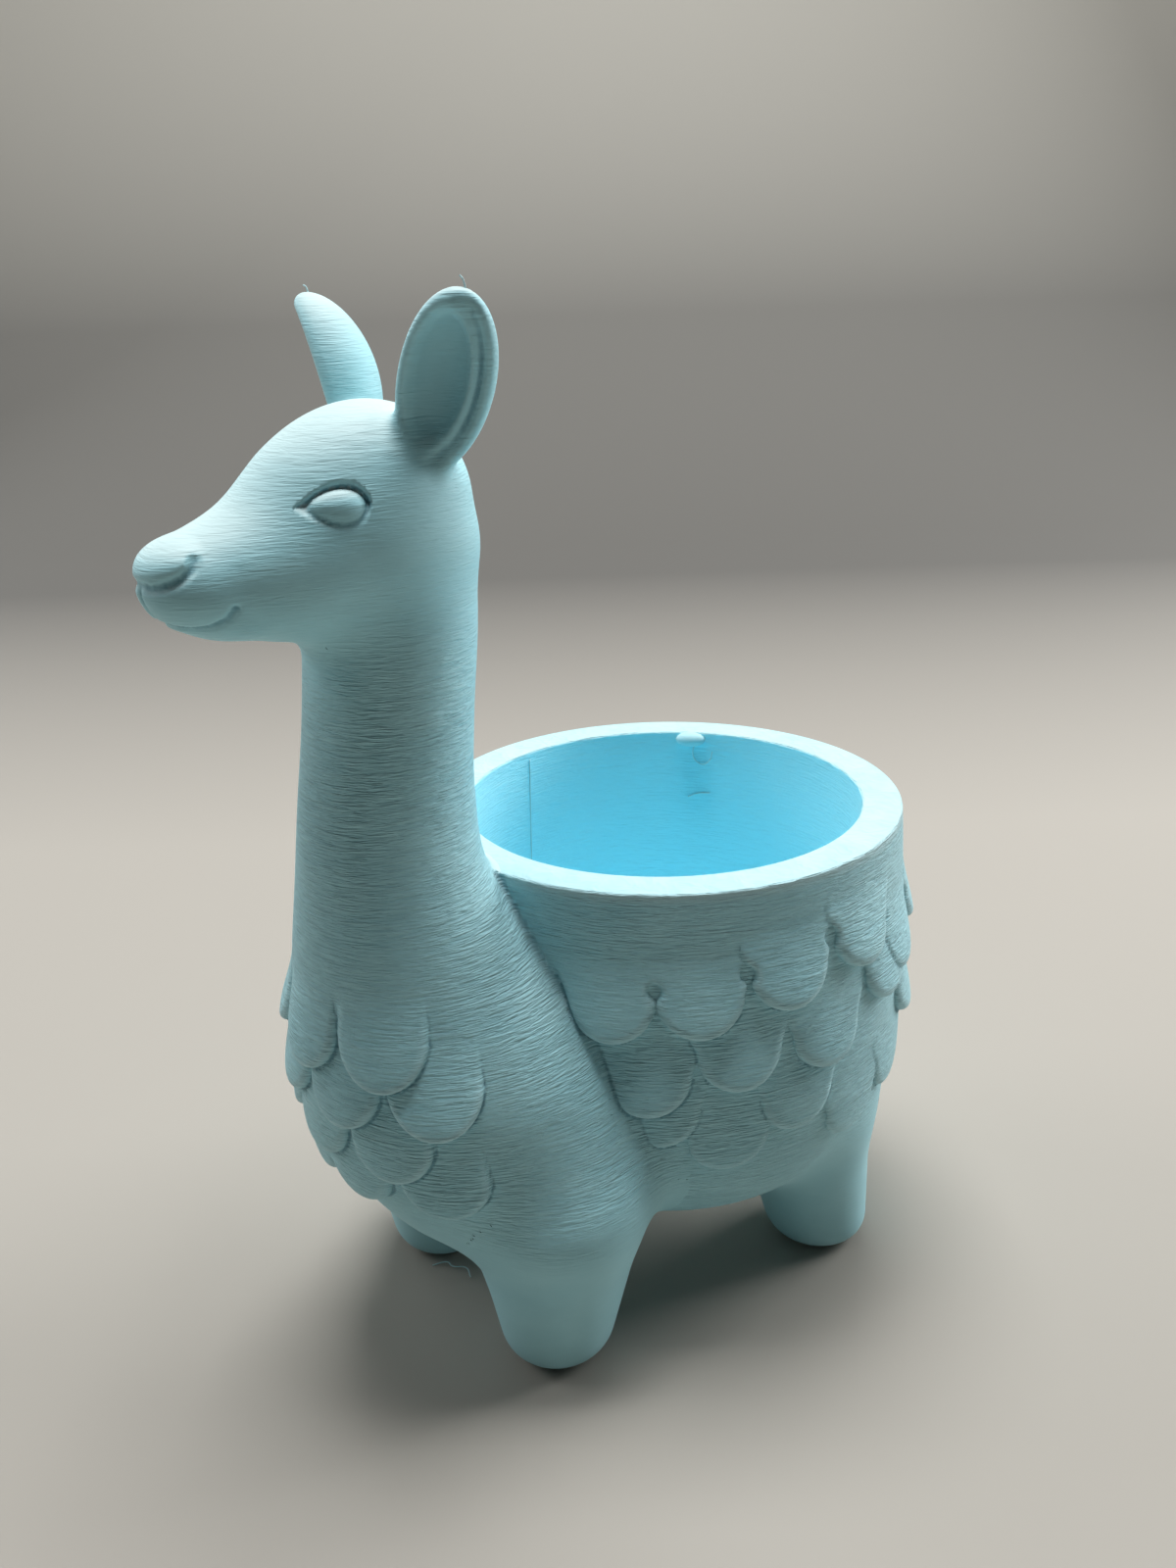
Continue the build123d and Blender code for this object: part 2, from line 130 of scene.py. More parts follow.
def mesh_piece(name, points, quads, triangles):
    """A mesh object from points in millimetres in the pot's own frame, put into the CAD frame."""
    mesh = bpy.data.meshes.new(name)
    places = (np.asarray(points, float) + (0, POT_AXIS_Y, 0)) * MM
    loops = np.concatenate([quads.ravel(), triangles.ravel()]).astype(np.int32)
    sizes = np.concatenate([np.full(len(quads), 4), np.full(len(triangles), 3)]).astype(np.int32)
    mesh.vertices.add(len(places))
    mesh.vertices.foreach_set("co", places.ravel())
    mesh.loops.add(len(loops))
    mesh.loops.foreach_set("vertex_index", loops)
    mesh.polygons.add(len(sizes))
    loop_starts = np.concatenate([[0], np.cumsum(sizes)[:-1]]).astype(np.int32)
    mesh.polygons.foreach_set("loop_start", loop_starts)
    mesh.update(calc_edges=True)
    mesh.polygons.foreach_set("use_smooth", np.ones(len(sizes), bool))
    piece = bpy.data.objects.new(name, mesh)
    bpy.context.scene.collection.objects.link(piece)
    return piece


PRINT_BLUE = (0.38, 0.735, 0.815)
# Patterns of the print: length, height, detail, tilt and bend, with the lengths in metres
FINE_STREAKS = (0.0040, 0.00036, 2.0, 0.05, 0.5)
BROAD_STREAKS = (0.0080, 0.00062, 2.0, -0.04, 0.8)
CLOUDS = (0.020, 0.012, 3.0, 0.0, 0.0)
PATTERN_ROUGHNESS = 0.6
BROAD_SHARE = 0.34
CLOUD_SHARE = 0.35
CALM_RANGE = (0, 1.08)
RELIEF_DEPTH = 0.0010
# Dark and light end of the streaks: place on the ramp, and shares of the print's blue
STREAK_ENDS = [(0.37, (0.82, 0.87, 0.89)), (0.65, (1.14, 1.07, 1.05))]
# What else turns the colour, all of it painted light and shade: a number kept with the skin, its range, and
# shares of the blue there
PAINTED_LIGHT_TURNS = [
    # Painted highlight on sharp outward edges, then painted shade in creases
    ("edge", (0.10, 0.9), (1.6, 1.24, 1.2)), ("edge", (-0.08, -0.65), (0.38, 0.49, 0.54)),
    # Painted bounce light that makes the inside of the pot bluer
    ("inside", (0, 1), (0.95, 1.12, 1.15)),
]
# A paler blue: a painted highlight where the skin faces up and on the rim's top, and the paler colour of the
# threads and the rim lump
PALE_AND_HIGHLIGHT_BLUE = (0.57, 0.71, 0.71, 1.0)
PALE_AND_HIGHLIGHT_RANGE = (0, 1.25)
ROUGHNESS_RANGE = (0.50, 0.72)
GLOSS = 0.45
SHEEN = 0.1


def mixed(tree, kind, first, second, share):
    """A mix of two values or sockets, by a share that is a value or a socket too."""
    mix = tree.nodes.new("ShaderNodeMix")
    mix.data_type = kind
    ends = [socket for socket in mix.inputs if socket.enabled and socket.name in "AB"]
    for value, socket in ((first, ends[0]), (second, ends[1]), (share, mix.inputs["Factor"])):
        if isinstance(value, bpy.types.NodeSocket):
            tree.links.new(value, socket)
        else:
            socket.default_value = value
    return next(socket for socket in mix.outputs if socket.enabled)


def print_plastic(name):
    """Matt printed plastic from Object coordinates: level hair-like streaks in relief and shade.

    The streaks are fainter where the skin is calm. The plastic has a painted highlight on sharp edges and
    where it faces up, painted shade in creases and painted bounce light that makes the inside of the pot
    bluer.
    """
    material = bpy.data.materials.new(name)
    material.use_nodes = True
    tree = material.node_tree
    nodes, links = tree.nodes, tree.links
    shader = nodes["Principled BSDF"]
    place = nodes.new("ShaderNodeTexCoord")

    def pattern(length, height, detail, tilt, bend):
        """Noise stretched to this length and height, and tilted a little off level."""
        squeeze = nodes.new("ShaderNodeMapping")
        squeeze.inputs["Rotation"].default_value = (tilt, -tilt, 0)
        squeeze.inputs["Scale"].default_value = (1 / length, 1 / length, 1 / height)
        noise = nodes.new("ShaderNodeTexNoise")
        noise.inputs["Scale"].default_value = 1.0
        noise.inputs["Detail"].default_value = detail
        noise.inputs["Roughness"].default_value = PATTERN_ROUGHNESS
        noise.inputs["Distortion"].default_value = bend
        links.new(place.outputs["Object"], squeeze.inputs["Vector"])
        links.new(squeeze.outputs["Vector"], noise.inputs["Vector"])
        return noise.outputs["Fac"]

    def kept_number(name, reach):
        """A number kept with the vertices, as a share of the way from its low to its high end."""
        source = nodes.new("ShaderNodeAttribute")
        source.attribute_name = name
        share = nodes.new("ShaderNodeMapRange")
        share.inputs["From Min"].default_value = reach[0]
        share.inputs["From Max"].default_value = reach[1]
        links.new(source.outputs["Fac"], share.inputs["Value"])
        return share.outputs["Result"]

    def blue(shares):
        """The print's blue with its red, green and blue part scaled by these shares."""
        return (*(part * share for part, share in zip(PRINT_BLUE, shares)), 1.0)

    fine = pattern(*FINE_STREAKS)
    relief = mixed(tree, "FLOAT", fine, pattern(*BROAD_STREAKS), BROAD_SHARE)
    relief = mixed(tree, "FLOAT", relief, 0.5, kept_number("calm", CALM_RANGE))
    bump = nodes.new("ShaderNodeBump")
    bump.inputs["Strength"].default_value = 1.0
    bump.inputs["Distance"].default_value = RELIEF_DEPTH
    links.new(relief, bump.inputs["Height"])
    links.new(bump.outputs["Normal"], shader.inputs["Normal"])
    shade = nodes.new("ShaderNodeValToRGB")
    for element, (position, shares) in zip(shade.color_ramp.elements, STREAK_ENDS):
        element.position = position
        element.color = blue(shares)
    links.new(mixed(tree, "FLOAT", relief, pattern(*CLOUDS), CLOUD_SHARE), shade.inputs["Fac"])
    skin = shade.outputs["Color"]
    # Painted light and shade: highlight on outward edges, shade in creases, bounce light inside the pot
    for number, reach, shares in PAINTED_LIGHT_TURNS:
        skin = mixed(tree, "RGBA", skin, blue(shares), kept_number(number, reach))
    # Painted highlight on faces that look up and on the rim's top, and paler threads and rim lump
    skin = mixed(tree, "RGBA", skin, PALE_AND_HIGHLIGHT_BLUE, kept_number("pale", PALE_AND_HIGHLIGHT_RANGE))
    links.new(skin, shader.inputs["Base Color"])
    rough = nodes.new("ShaderNodeMapRange")
    rough.inputs["To Min"].default_value = ROUGHNESS_RANGE[0]
    rough.inputs["To Max"].default_value = ROUGHNESS_RANGE[1]
    links.new(fine, rough.inputs["Value"])
    links.new(rough.outputs["Result"], shader.inputs["Roughness"])
    shader.inputs["Specular IOR Level"].default_value = GLOSS
    shader.inputs["Sheen Weight"].default_value = SHEEN
    return material


def marked(piece, **values):
    """Keeps numbers with each vertex of a piece, for its material to read."""
    for name, numbers in values.items():
        attribute = piece.data.attributes.new(name, "FLOAT", "POINT")
        attribute.data.foreach_set("value", np.asarray(numbers, np.float32))


matt_print = print_plastic("matt_print")


def finished(piece, node):
    """Gives a piece the print's plastic, hides the CAD node it stands for and hangs it from the root body.
    """
    piece.data.materials.append(matt_print)
    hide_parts(node)
    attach(piece, "root")
    return piece


# How far the marks for the material reach past the cavity's wall and floor and below the rim's top, how calm
# the cavity is, and how strong the painted highlight on the rim's top is. Inside the cavity the mark also
# brings painted bounce light
INSIDE_PAST_WALL = 0.1
INSIDE_PAST_FLOOR = 1.0
RIM_PAST_WALL = 0.05
RIM_BAND = 0.7
INSIDE_CALM = 0.6
RIM_HIGHLIGHT = 0.5

pot = finished(mesh_piece("pot", *turned(pot_profile())), "pot_shell")
pot.data.set_sharp_from_angle(angle=np.radians(CREASE_ANGLE))
pot_places = np.array([vertex.co[:] for vertex in pot.data.vertices]) / MM
pot_reach = np.hypot(pot_places[:, 0], pot_places[:, 1] - POT_AXIS_Y)
pot_inside = pot_reach < CAVITY_RADIUS + INSIDE_PAST_WALL
pot_inside &= pot_places[:, 2] > CAVITY_FLOOR_HEIGHT - INSIDE_PAST_FLOOR
# The rim's top band gets a painted highlight
pot_rim = (pot_places[:, 2] > RIM_HEIGHT - RIM_BAND) & (pot_reach > CAVITY_RADIUS + RIM_PAST_WALL)
marked(pot, inside=pot_inside, calm=INSIDE_CALM * pot_inside, pale=RIM_HIGHLIGHT * pot_rim)


# Keeps a division away from zero
LEAST = 1e-9


def ellipse_distance(offset, radii):
    """Distance to an ellipse or ellipsoid: the scaled length, times itself less one, over its slope."""
    scaled = np.sqrt(((offset / radii) ** 2).sum(-1))
    slope = np.sqrt(((offset / np.square(radii)) ** 2).sum(-1)) + LEAST
    return scaled * (scaled - 1) / slope


def pot_distance(at):
    """Distance to the filled pot: a quarter ellipse under the belly, the arc above it, a flat top."""
    reach = np.hypot(at[:, 0], at[:, 1])
    under = np.stack([
        np.maximum(reach - UNDERSIDE_RADIUS, 0), np.minimum(at[:, 2] - BELLY_HEIGHT, 0)
    ], -1)
    radii = np.array([BELLY_RADIUS - UNDERSIDE_RADIUS, BELLY_HEIGHT - UNDERSIDE_HEIGHT])
    bowl = ellipse_distance(under, radii)
    side = np.where(at[:, 2] < BELLY_HEIGHT, bowl, reach - belly_arc(np.maximum(at[:, 2], BELLY_HEIGHT)))
    return np.maximum(side, at[:, 2] - RIM_HEIGHT)


# Chest and neck.
# One upright swelling column rises from between the front legs, past the rim, into the head.
# It is printed solid with the pot, and a tight crease runs down where the two meet.

COLUMN_HEIGHTS = [17.1, 24, 32, 42, 52, 64, 76, 88, 100, 112, 126, 140]
COLUMN_FORWARD = [42, 42.9, 44.3, 44.4, 44.7, 48.2, 52.5, 55.3, 55, 53.6, 51.9, 51]
COLUMN_HALF_WIDTHS = [12, 19.3, 23.5, 28.0, 28.7, 24.9, 19.3, 15.0, 12.8, 12.9, 12.8, 12.5]
COLUMN_HALF_DEPTHS = [11, 16.6, 20.6, 25.1, 26.9, 23.8, 19.0, 14.8, 13.6, 12.8, 12.8, 12.5]
COLUMN_END_ROUND = 5.0


# The print has no joints: its regions run into one another over soft fillets. So each region is a
# distance function in numpy, and the fillets come from blending those before the skin is cut out.
def blended(first, second, fillet):
    """The nearer of two distances, with a round fillet where they are within fillet of each other."""
    share = np.clip(0.5 + 0.5 * (second - first) / fillet, 0, 1)
    return second + (first - second) * share - fillet * share * (1 - share)


def kept_inside(first, second, fillet):
    """The further of two distances, with the edge between them rounded."""
    return -blended(-first, -second, fillet)


def smooth_column(place, stations, values):
    """A smooth curve through values at stations, by cubic spans with the stations' own slopes."""
    stations, values = np.asarray(stations, float), np.asarray(values, float)
    slopes = np.gradient(values, stations)
    span = np.clip(np.searchsorted(stations, place) - 1, 0, len(stations) - 2)
    width = stations[span + 1] - stations[span]
    t = np.clip((place - stations[span]) / width, 0, 1)
    return (
        (2 * t**3 - 3 * t**2 + 1) * values[span] + (t**3 - 2 * t**2 + t) * width * slopes[span]
        + (3 * t**2 - 2 * t**3) * values[span + 1] + (t**3 - t**2) * width * slopes[span + 1]
    )


def column_level(height):
    """The middle, half width and half depth of the column at a height."""
    middle = -smooth_column(height, COLUMN_HEIGHTS, COLUMN_FORWARD)
    half_width = smooth_column(height, COLUMN_HEIGHTS, COLUMN_HALF_WIDTHS)
    half_depth = smooth_column(height, COLUMN_HEIGHTS, COLUMN_HALF_DEPTHS)
    return middle, half_width, half_depth


def column_distance(at):
    """Distance to the chest and neck: level ellipses whose size and place follow the height."""
    height = at[:, 2]
    middle, half_width, half_depth = column_level(height)
    offset = np.stack([at[:, 0], at[:, 1] - middle], -1)
    side = ellipse_distance(offset, np.stack([half_width, half_depth], -1))
    side = kept_inside(side, height - COLUMN_HEIGHTS[-1], COLUMN_END_ROUND)
    return kept_inside(side, COLUMN_HEIGHTS[0] - height, COLUMN_END_ROUND)


# Breast locks.
# Plump locks of fleece lie over each other on the breast like shingles, each fullest at its round
# foot and fading into the skin above. They are modelled in the print, not put on.

BREAST_LOCK_HALF_WIDTH = 7.4
BREAST_LOCK_PROUD = 2.6
BREAST_LOCK_EDGE = 1.5
BREAST_LOCK_SPREAD = 0.0
BREAST_LOCK_FADE = 2.1
# Foot of each lock on the left side, as side, forward and height; all but the last two have a twin
BREAST_LOCKS = [
    (15.3, 69.0, 60.8), (20.4, 62.5, 53.6), (8.0, 73.0, 52.6), (15.0, 68.0, 44.4),
    (19.8, 61.5, 37.4), (6.5, 72.0, 36.8), (0.0, 74.0, 60.4), (0.0, 74.0, 44.2),
]
# Shares of a lock's half width: where it starts and ends to spread, and where it starts to fade
SPREAD_SHARES = (0.8, 1.7)
FADE_START_SHARE = -0.1
DOME_FALL_SHARE = 0.3
LOCK_SINK = 0.02
# A lock is worked out only this far to its sides and from its foot, and counts as far elsewhere
LOCK_SIDE_REACH = 12.0
LOCK_FOOT_REACH = (-2.0, 20.0)
FAR = 9.0


def column_way_out(at):
    """The level direction that points out of the column at a place."""
    middle, half_width, half_depth = column_level(at[:, 2])
    out = np.stack([at[:, 0] / half_width**2, (at[:, 1] - middle) / half_depth**2, 0 * at[:, 2]], -1)
    return out / np.linalg.norm(out, axis=-1, keepdims=True)


def smooth_step(value, low, high):
    """Nought below low, one above high, and a smooth climb between."""
    share = np.clip((value - low) / (high - low), 0, 1)
    return share * share * (3 - 2 * share)


def lock_distance(skin, across, up, half_width, proud, edge, spread, fade):
    """Distance to one lock: the skin stood proud inside a tongue with a half round foot at up = 0.

    Above the half round the tongue may spread, so that neighbours run together, and it fades out.
    """
    spread_start, spread_end = (share * half_width for share in SPREAD_SHARES)
    across = np.abs(across) * (1 - spread * smooth_step(up, spread_start, spread_end))
    outline = np.hypot(across, np.minimum(up - half_width, 0)) - half_width
    full = 1 - smooth_step(up, FADE_START_SHARE * half_width, fade * half_width)
    dome = 1 - DOME_FALL_SHARE * np.minimum(across / half_width, 1) ** 2
    return kept_inside(skin - proud * full * dome + LOCK_SINK, outline, edge)


def within_reach(across, up):
    """Whether places are near enough to a lock to be worked out."""
    low, high = LOCK_FOOT_REACH
    return (np.abs(across) < LOCK_SIDE_REACH) & (up > low) & (up < high)


def breast_lock_distance(at):
    """Distance to the breast's locks: the nearest of them, each with its foot at its own place."""
    skin = column_distance(at)
    nearest = np.full(len(at), FAR)
    for side, forward, height in BREAST_LOCKS:
        foot = np.array([[side, -forward, height + BREAST_LOCK_HALF_WIDTH]])
        out = column_way_out(foot)[0]
        offset = at - foot
        across, up = offset @ np.array([-out[1], out[0], 0]), at[:, 2] - height
        inside = within_reach(across, up) & (np.abs(offset @ out) < LOCK_SIDE_REACH)
        lock = lock_distance(
            skin[inside], across[inside], up[inside], BREAST_LOCK_HALF_WIDTH, BREAST_LOCK_PROUD,
            BREAST_LOCK_EDGE, BREAST_LOCK_SPREAD, BREAST_LOCK_FADE,
        )
        nearest[inside] = np.minimum(nearest[inside], lock)
    return nearest


# Legs.
# Four short tapered legs stand on round flat feet and swell into the body over wide fillets.
# They are part of the same print, with a softly rounded edge round each sole.

# Each row: height, side and forward place of the leg's middle, and its radius
FRONT_LEG = [
    (0, 18.4, 41.2, 8.8), (17, 18.4, 40.5, 12.6), (33, 18.4, 39.8, 16.2), (45, 16.4, 38.6, 13.8),
    (54, 14.0, 38.5, 10.5), (62, 12.0, 39.0, 6.5),
]
REAR_LEG = [
    (0, 26.0, -15.6, 9.1), (17, 25.2, -13.2, 11.2), (33, 24.4, -10.8, 13.2), (44, 22.0, -9.5, 10.0),
]
SOLE_EDGE_ROUND = 5.0
LEG_TOP_ROUND = 6.0
FRONT_FILLET = 7.0
REAR_FILLET = 5.0


def leg_distance(at, rows):
    """Distance to a leg: level circles along its rows, a flat sole and rounded ends."""
    heights, side, forward, radius = np.array(rows, float).T
    x, y, r = (smooth_column(at[:, 2], heights, row) for row in (side, -forward, radius))
    wall = np.hypot(at[:, 0] - x, at[:, 1] - y) - r
    wall = kept_inside(wall, -at[:, 2], SOLE_EDGE_ROUND)
    return kept_inside(wall, at[:, 2] - heights[-1], LEG_TOP_ROUND)


# Head and muzzle.
# Skull, brow, jaw and muzzle are egg forms run together, with two lips drawn out in front.
# The print's mouth is a shallow groove, and another parts the upper lip below the nose.

# Each form: its middle, its radii, how far it leans and the fillet to the forms before it
HEAD_FORMS = [
    ((0, -53.25, 143.9), (13.8, 14.5, 14.2), 0, 6.0),
    ((0, -59.1, 146.1), (9.7, 12.4, 8.0), 0, 6.0),
    ((0, -60.4, 137.3), (12.2, 14.6, 9.9), 0, 8.0),
    ((0, -73.3, 136.5), (9.5, 14.5, 7.6), -6.5, 8.0),
    ((0, -80.4, 135.7), (7.7, 6.0, 4.9), 0, 3.0),
    ((0, -76.0, 132.4), (7.2, 6.4, 3.7), 0, 1.5),
]
HEAD_FILLET = 5.0
MUZZLE_START = -70.04
# Bends of the grooves near the skin, and each groove's depth and width
MOUTH_LINE = [
    (0, -85.4, 132.4), (1.9, -84.6, 132.3), (4.0, -83.2, 131.8), (6.0, -81.3, 132.0),
    (7.35, -79.4, 133.2), (8.35, -78.6, 134.3),
]
LIP_PARTING = [(0, -87.4, 137.6), (0, -86.4, 132.6)]
NOSE_GROOVE = [
    (0, -87.8, 137.6), (1.3, -87.6, 137.6), (2.7, -87.0, 137.4), (4.0, -86.2, 137.6),
    (5.1, -85.1, 138.1), (5.8, -84.1, 138.8), (6.2, -83.0, 139.8), (6.3, -82.5, 140.8),
]
MOUTH_GROOVE = (0.75, 0.6)
PARTING_GROOVE = (0.5, 0.5)
NOSE_GROOVE_SIZE = (0.85, 0.6)
SETTLING_ROUNDS = 6
SETTLING_STEP = 0.1


def turn_matrix(axis, degrees):
    """The matrix whose columns are a frame turned about one axis."""
    return np.array(Matrix.Rotation(np.radians(degrees), 3, axis))


def head_distance(at):
    """Distance to the head: egg forms blended one after another from the skull to the lips."""
    whole = None
    for centre, radii, lean, fillet in HEAD_FORMS:
        offset = (at - np.array(centre)) @ turn_matrix("X", lean)
        egg = ellipse_distance(offset, np.array(radii))
        whole = egg if whole is None else blended(whole, egg, fillet)
    return whole


def line_distance(at, points):
    """Distance to a bent line: the least, over its spans, of the distance to the span."""
    nearest = np.full(len(at), FAR)
    points = np.asarray(points, float)
    for start, end in zip(points[:-1], points[1:]):
        run = end - start
        part = np.clip((at - start) @ run / (run @ run), 0, 1)[:, None]
        nearest = np.minimum(nearest, np.linalg.norm(at - start - part * run, axis=-1))
    return nearest


def bell(distance, width):
    """One at no distance, falling away to nought in a bell of this width."""
    return np.exp(-(distance / width) ** 2)


def settled(points, distance):
    """Points moved on to a skin by steps down the slope of its distance."""
    places = np.array(points, float)
    steps = SETTLING_STEP * np.eye(3)
    for _ in range(SETTLING_ROUNDS):
        slope = np.stack([distance(places + step) - distance(places - step) for step in steps], -1)
        slope /= np.linalg.norm(slope, axis=-1, keepdims=True)
        places -= distance(places)[:, None] * slope
    return places


# Nose pad.
# A smooth raised pad wraps the muzzle's end. It is printed with the head, and a groove bounds it
# from below and runs up at its sides.

NOSE_PAD_CENTRE = (0, -82.8, 139.9)
NOSE_PAD_RADII = (6.7, 5.0, 3.1)
NOSE_PAD_LEAN = 20.0
NOSE_PAD_FILLET = 0.6


def nose_pad_distance(at):
    """Distance to the pad: one egg form lying across the muzzle's end."""
    offset = (at - np.array(NOSE_PAD_CENTRE)) @ turn_matrix("X", NOSE_PAD_LEAN)
    return ellipse_distance(offset, np.array(NOSE_PAD_RADII))


def nose_distance(at):
    """Distance to the head and the pad together."""
    return blended(head_distance(at), nose_pad_distance(at), NOSE_PAD_FILLET)


MOUTH_LINE = settled(MOUTH_LINE, nose_distance)
LIP_PARTING = settled(LIP_PARTING, nose_distance)
NOSE_GROOVE = settled(NOSE_GROOVE, nose_distance)


def face_relief(at):
    """How far the muzzle's skin is sunk by its grooves: the sum of a bell across each of them."""
    grooves = (
        (MOUTH_LINE, MOUTH_GROOVE), (LIP_PARTING, PARTING_GROOVE), (NOSE_GROOVE, NOSE_GROOVE_SIZE)
    )
    return sum(depth * bell(line_distance(at, line), width) for line, (depth, width) in grooves)


# Eyes.
# Each eye is a smooth almond ball in a hollow that runs to a point towards the nose, under a brow
# with a crisp edge. Ball and hollow are modelled in the print.

EYE_CENTRE = np.array([10.85, -64.95, 145.95])
EYE_OUT = np.array([0.86, -0.41, 0.30])
EYE_OUT /= np.linalg.norm(EYE_OUT)
EYE_ALONG = np.cross([0, 0, 1], EYE_OUT)
EYE_ALONG /= np.linalg.norm(EYE_ALONG)
EYE_UP = np.cross(EYE_OUT, EYE_ALONG)
EYE_BALL_PLACE = (0.7, -0.15, -1.0)
EYE_BALL_RADII = np.array([3.9, 2.45, 2.2])
EYE_BALL_TAPER_SHARE = 0.22
HOLLOW_HALF_LENGTH = 5.2
HOLLOW_HALF_HEIGHT = 3.5
HOLLOW_DEPTH = 1.5
ALMOND_SCALE = 2.6
BROW_EDGE = 1.7
LOWER_LID_EDGE = 3.4
EYE_FILLET = 0.7


def eye_offset(at):
    """Places seen from the eye's middle: along the head (backwards), up, and out of the head."""
    offset = at - EYE_CENTRE
    return np.stack([offset @ EYE_ALONG, offset @ EYE_UP, offset @ EYE_OUT], -1)


def eye_hollow(place):
    """How far the skin is sunk inside an almond: share times the root of one less share, scaled."""
    share = (place[:, 0] / HOLLOW_HALF_LENGTH + 1) / 2
    almond = ALMOND_SCALE * np.clip(share, 0, 1) * np.sqrt(np.clip(1 - share, 0, 1))
    almond *= HOLLOW_HALF_HEIGHT
    beyond = HOLLOW_HALF_LENGTH * np.maximum(np.maximum(-share, share - 1), 0)
    upper = (almond - beyond - place[:, 1]) / BROW_EDGE
    lower = (almond - beyond + place[:, 1]) / LOWER_LID_EDGE
    return HOLLOW_DEPTH * smooth_step(np.minimum(upper, lower), 0, 1)


def eye_ball_distance(place):
    """Distance to the ball: an egg form that is lower in front."""
    offset = place - np.array(EYE_BALL_PLACE)
    offset[:, 1] /= 1 + EYE_BALL_TAPER_SHARE * np.clip(offset[:, 0] / EYE_BALL_RADII[0], -1, 1)
    return ellipse_distance(offset, EYE_BALL_RADII)


# Ears.
# Leaf shaped ears lean out and back a little, scooped on the side that faces forward. A soft ridge
# bounds the scoop, with a valley between it and the rolled outer edge.

EAR_CENTRE = np.array([15.1, -49.0, 160.6])
EAR_RADII = np.array([6.5, 6.05, 13.15])
EAR_LEAN = 29.0
EAR_TURN = 44.0
EAR_FACE = 2.1
EAR_BOW = 1.2
EAR_BOW_END_SHARE = 1.2
EAR_FILLET = 2.5
EAR_RIM_ROUND = 3.0
SCOOP_RADII = np.array([4.1, 4.6, 9.8])
SCOOP_PLACE = np.array([-0.9, -EAR_FACE - 0.4, 0.6])
SCOOP_EDGE_ROUND = 1.6
EAR_VALLEY = 0.9
EAR_VALLEY_WIDTH = 0.9
EAR_VALLEY_PLACE = 1.1
# Where the valley rises to its full depth, across the ear and towards its front
VALLEY_ACROSS = (-1.5, 2.0)
VALLEY_FORWARD = (-1.5, 0.5)


def ear_distance(at):
    """Distance to the ear: a bowed egg form with a flat front, less a smaller egg form and a valley."""
    offset = (at - EAR_CENTRE) @ turn_matrix("Y", EAR_LEAN) @ turn_matrix("Z", EAR_TURN)
    bow = np.clip(offset[:, 2] / EAR_RADII[2], -EAR_BOW_END_SHARE, EAR_BOW_END_SHARE)
    offset[:, 1] += EAR_BOW * bow**2
    leaf = ellipse_distance(offset, EAR_RADII)
    leaf = kept_inside(leaf, -EAR_FACE - offset[:, 1], EAR_RIM_ROUND)
    scoop = ellipse_distance(offset - SCOOP_PLACE, SCOOP_RADII)
    ring_radii = SCOOP_RADII[[0, 2]] + EAR_VALLEY_PLACE
    flat = (offset - SCOOP_PLACE)[:, (0, 2)] / ring_radii
    ring = (np.linalg.norm(flat, axis=-1) - 1) * ring_radii[0]
    valley = bell(ring, EAR_VALLEY_WIDTH) * smooth_step(offset[:, 0], *VALLEY_ACROSS)
    valley *= smooth_step(-offset[:, 1], *VALLEY_FORWARD)
    return kept_inside(leaf + EAR_VALLEY * valley, -scoop, SCOOP_EDGE_ROUND)


# Flank locks.
# Three rows of plump scalloped locks hang round the pot like shingles, each row over the next one
# down, with a dark pit wherever two neighbours part. They are modelled in the print.

LOCK_HALF_WIDTH = 7.5
LOCK_EDGE = 2.0
LOCK_SPREAD = 0.3
LOCK_FADE = 2.0
LEAST_REACH = 1.0
PIT_RISE = 8.6
PIT_WIDTH = 1.1
PIT_DEPTH = 1.3
# Each row: how proud it stands, and for each lock its angle from the front and the height of its foot
LOCK_ROWS = {
    "upper_locks": (2.5, [
        (38.0, 61.0), (56.8, 61.9), (76.8, 64.7), (97.8, 67.3), (117, 60.5), (138, 62.6), (159, 64.0),
        (180, 62.0),
    ]),
    "middle_locks": (2.3, [
        (45.4, 47.9), (65.2, 51.8), (86.8, 52.0), (108.5, 58.0), (127, 48.2), (148, 50.3), (169, 48.2),
    ]),
    "lower_locks": (1.3, [
        (47.5, 41.4), (63.0, 35.6), (79.3, 41.3), (97.0, 34.5), (115, 37.5), (133, 35.0), (151, 37.5),
        (169, 35.0),
    ]),
}


def lock_row_distance(at, proud, locks):
    """Distance to a row: the nearest of its locks, whose places go by the angle round the pot."""
    pot_skin = pot_distance(at)
    angle = np.degrees(np.arctan2(np.abs(at[:, 0]), -at[:, 1]))
    reach = np.maximum(np.hypot(at[:, 0], at[:, 1]), LEAST_REACH)
    nearest = np.full(len(at), FAR)
    for lock_angle, foot in locks:
        across, up = np.radians(angle - lock_angle) * reach, at[:, 2] - foot
        inside = within_reach(across, up)
        lock = lock_distance(
            pot_skin[inside], across[inside], up[inside], LOCK_HALF_WIDTH, proud, LOCK_EDGE,
            LOCK_SPREAD, LOCK_FADE,
        )
        nearest[inside] = np.minimum(nearest[inside], lock)
    return nearest


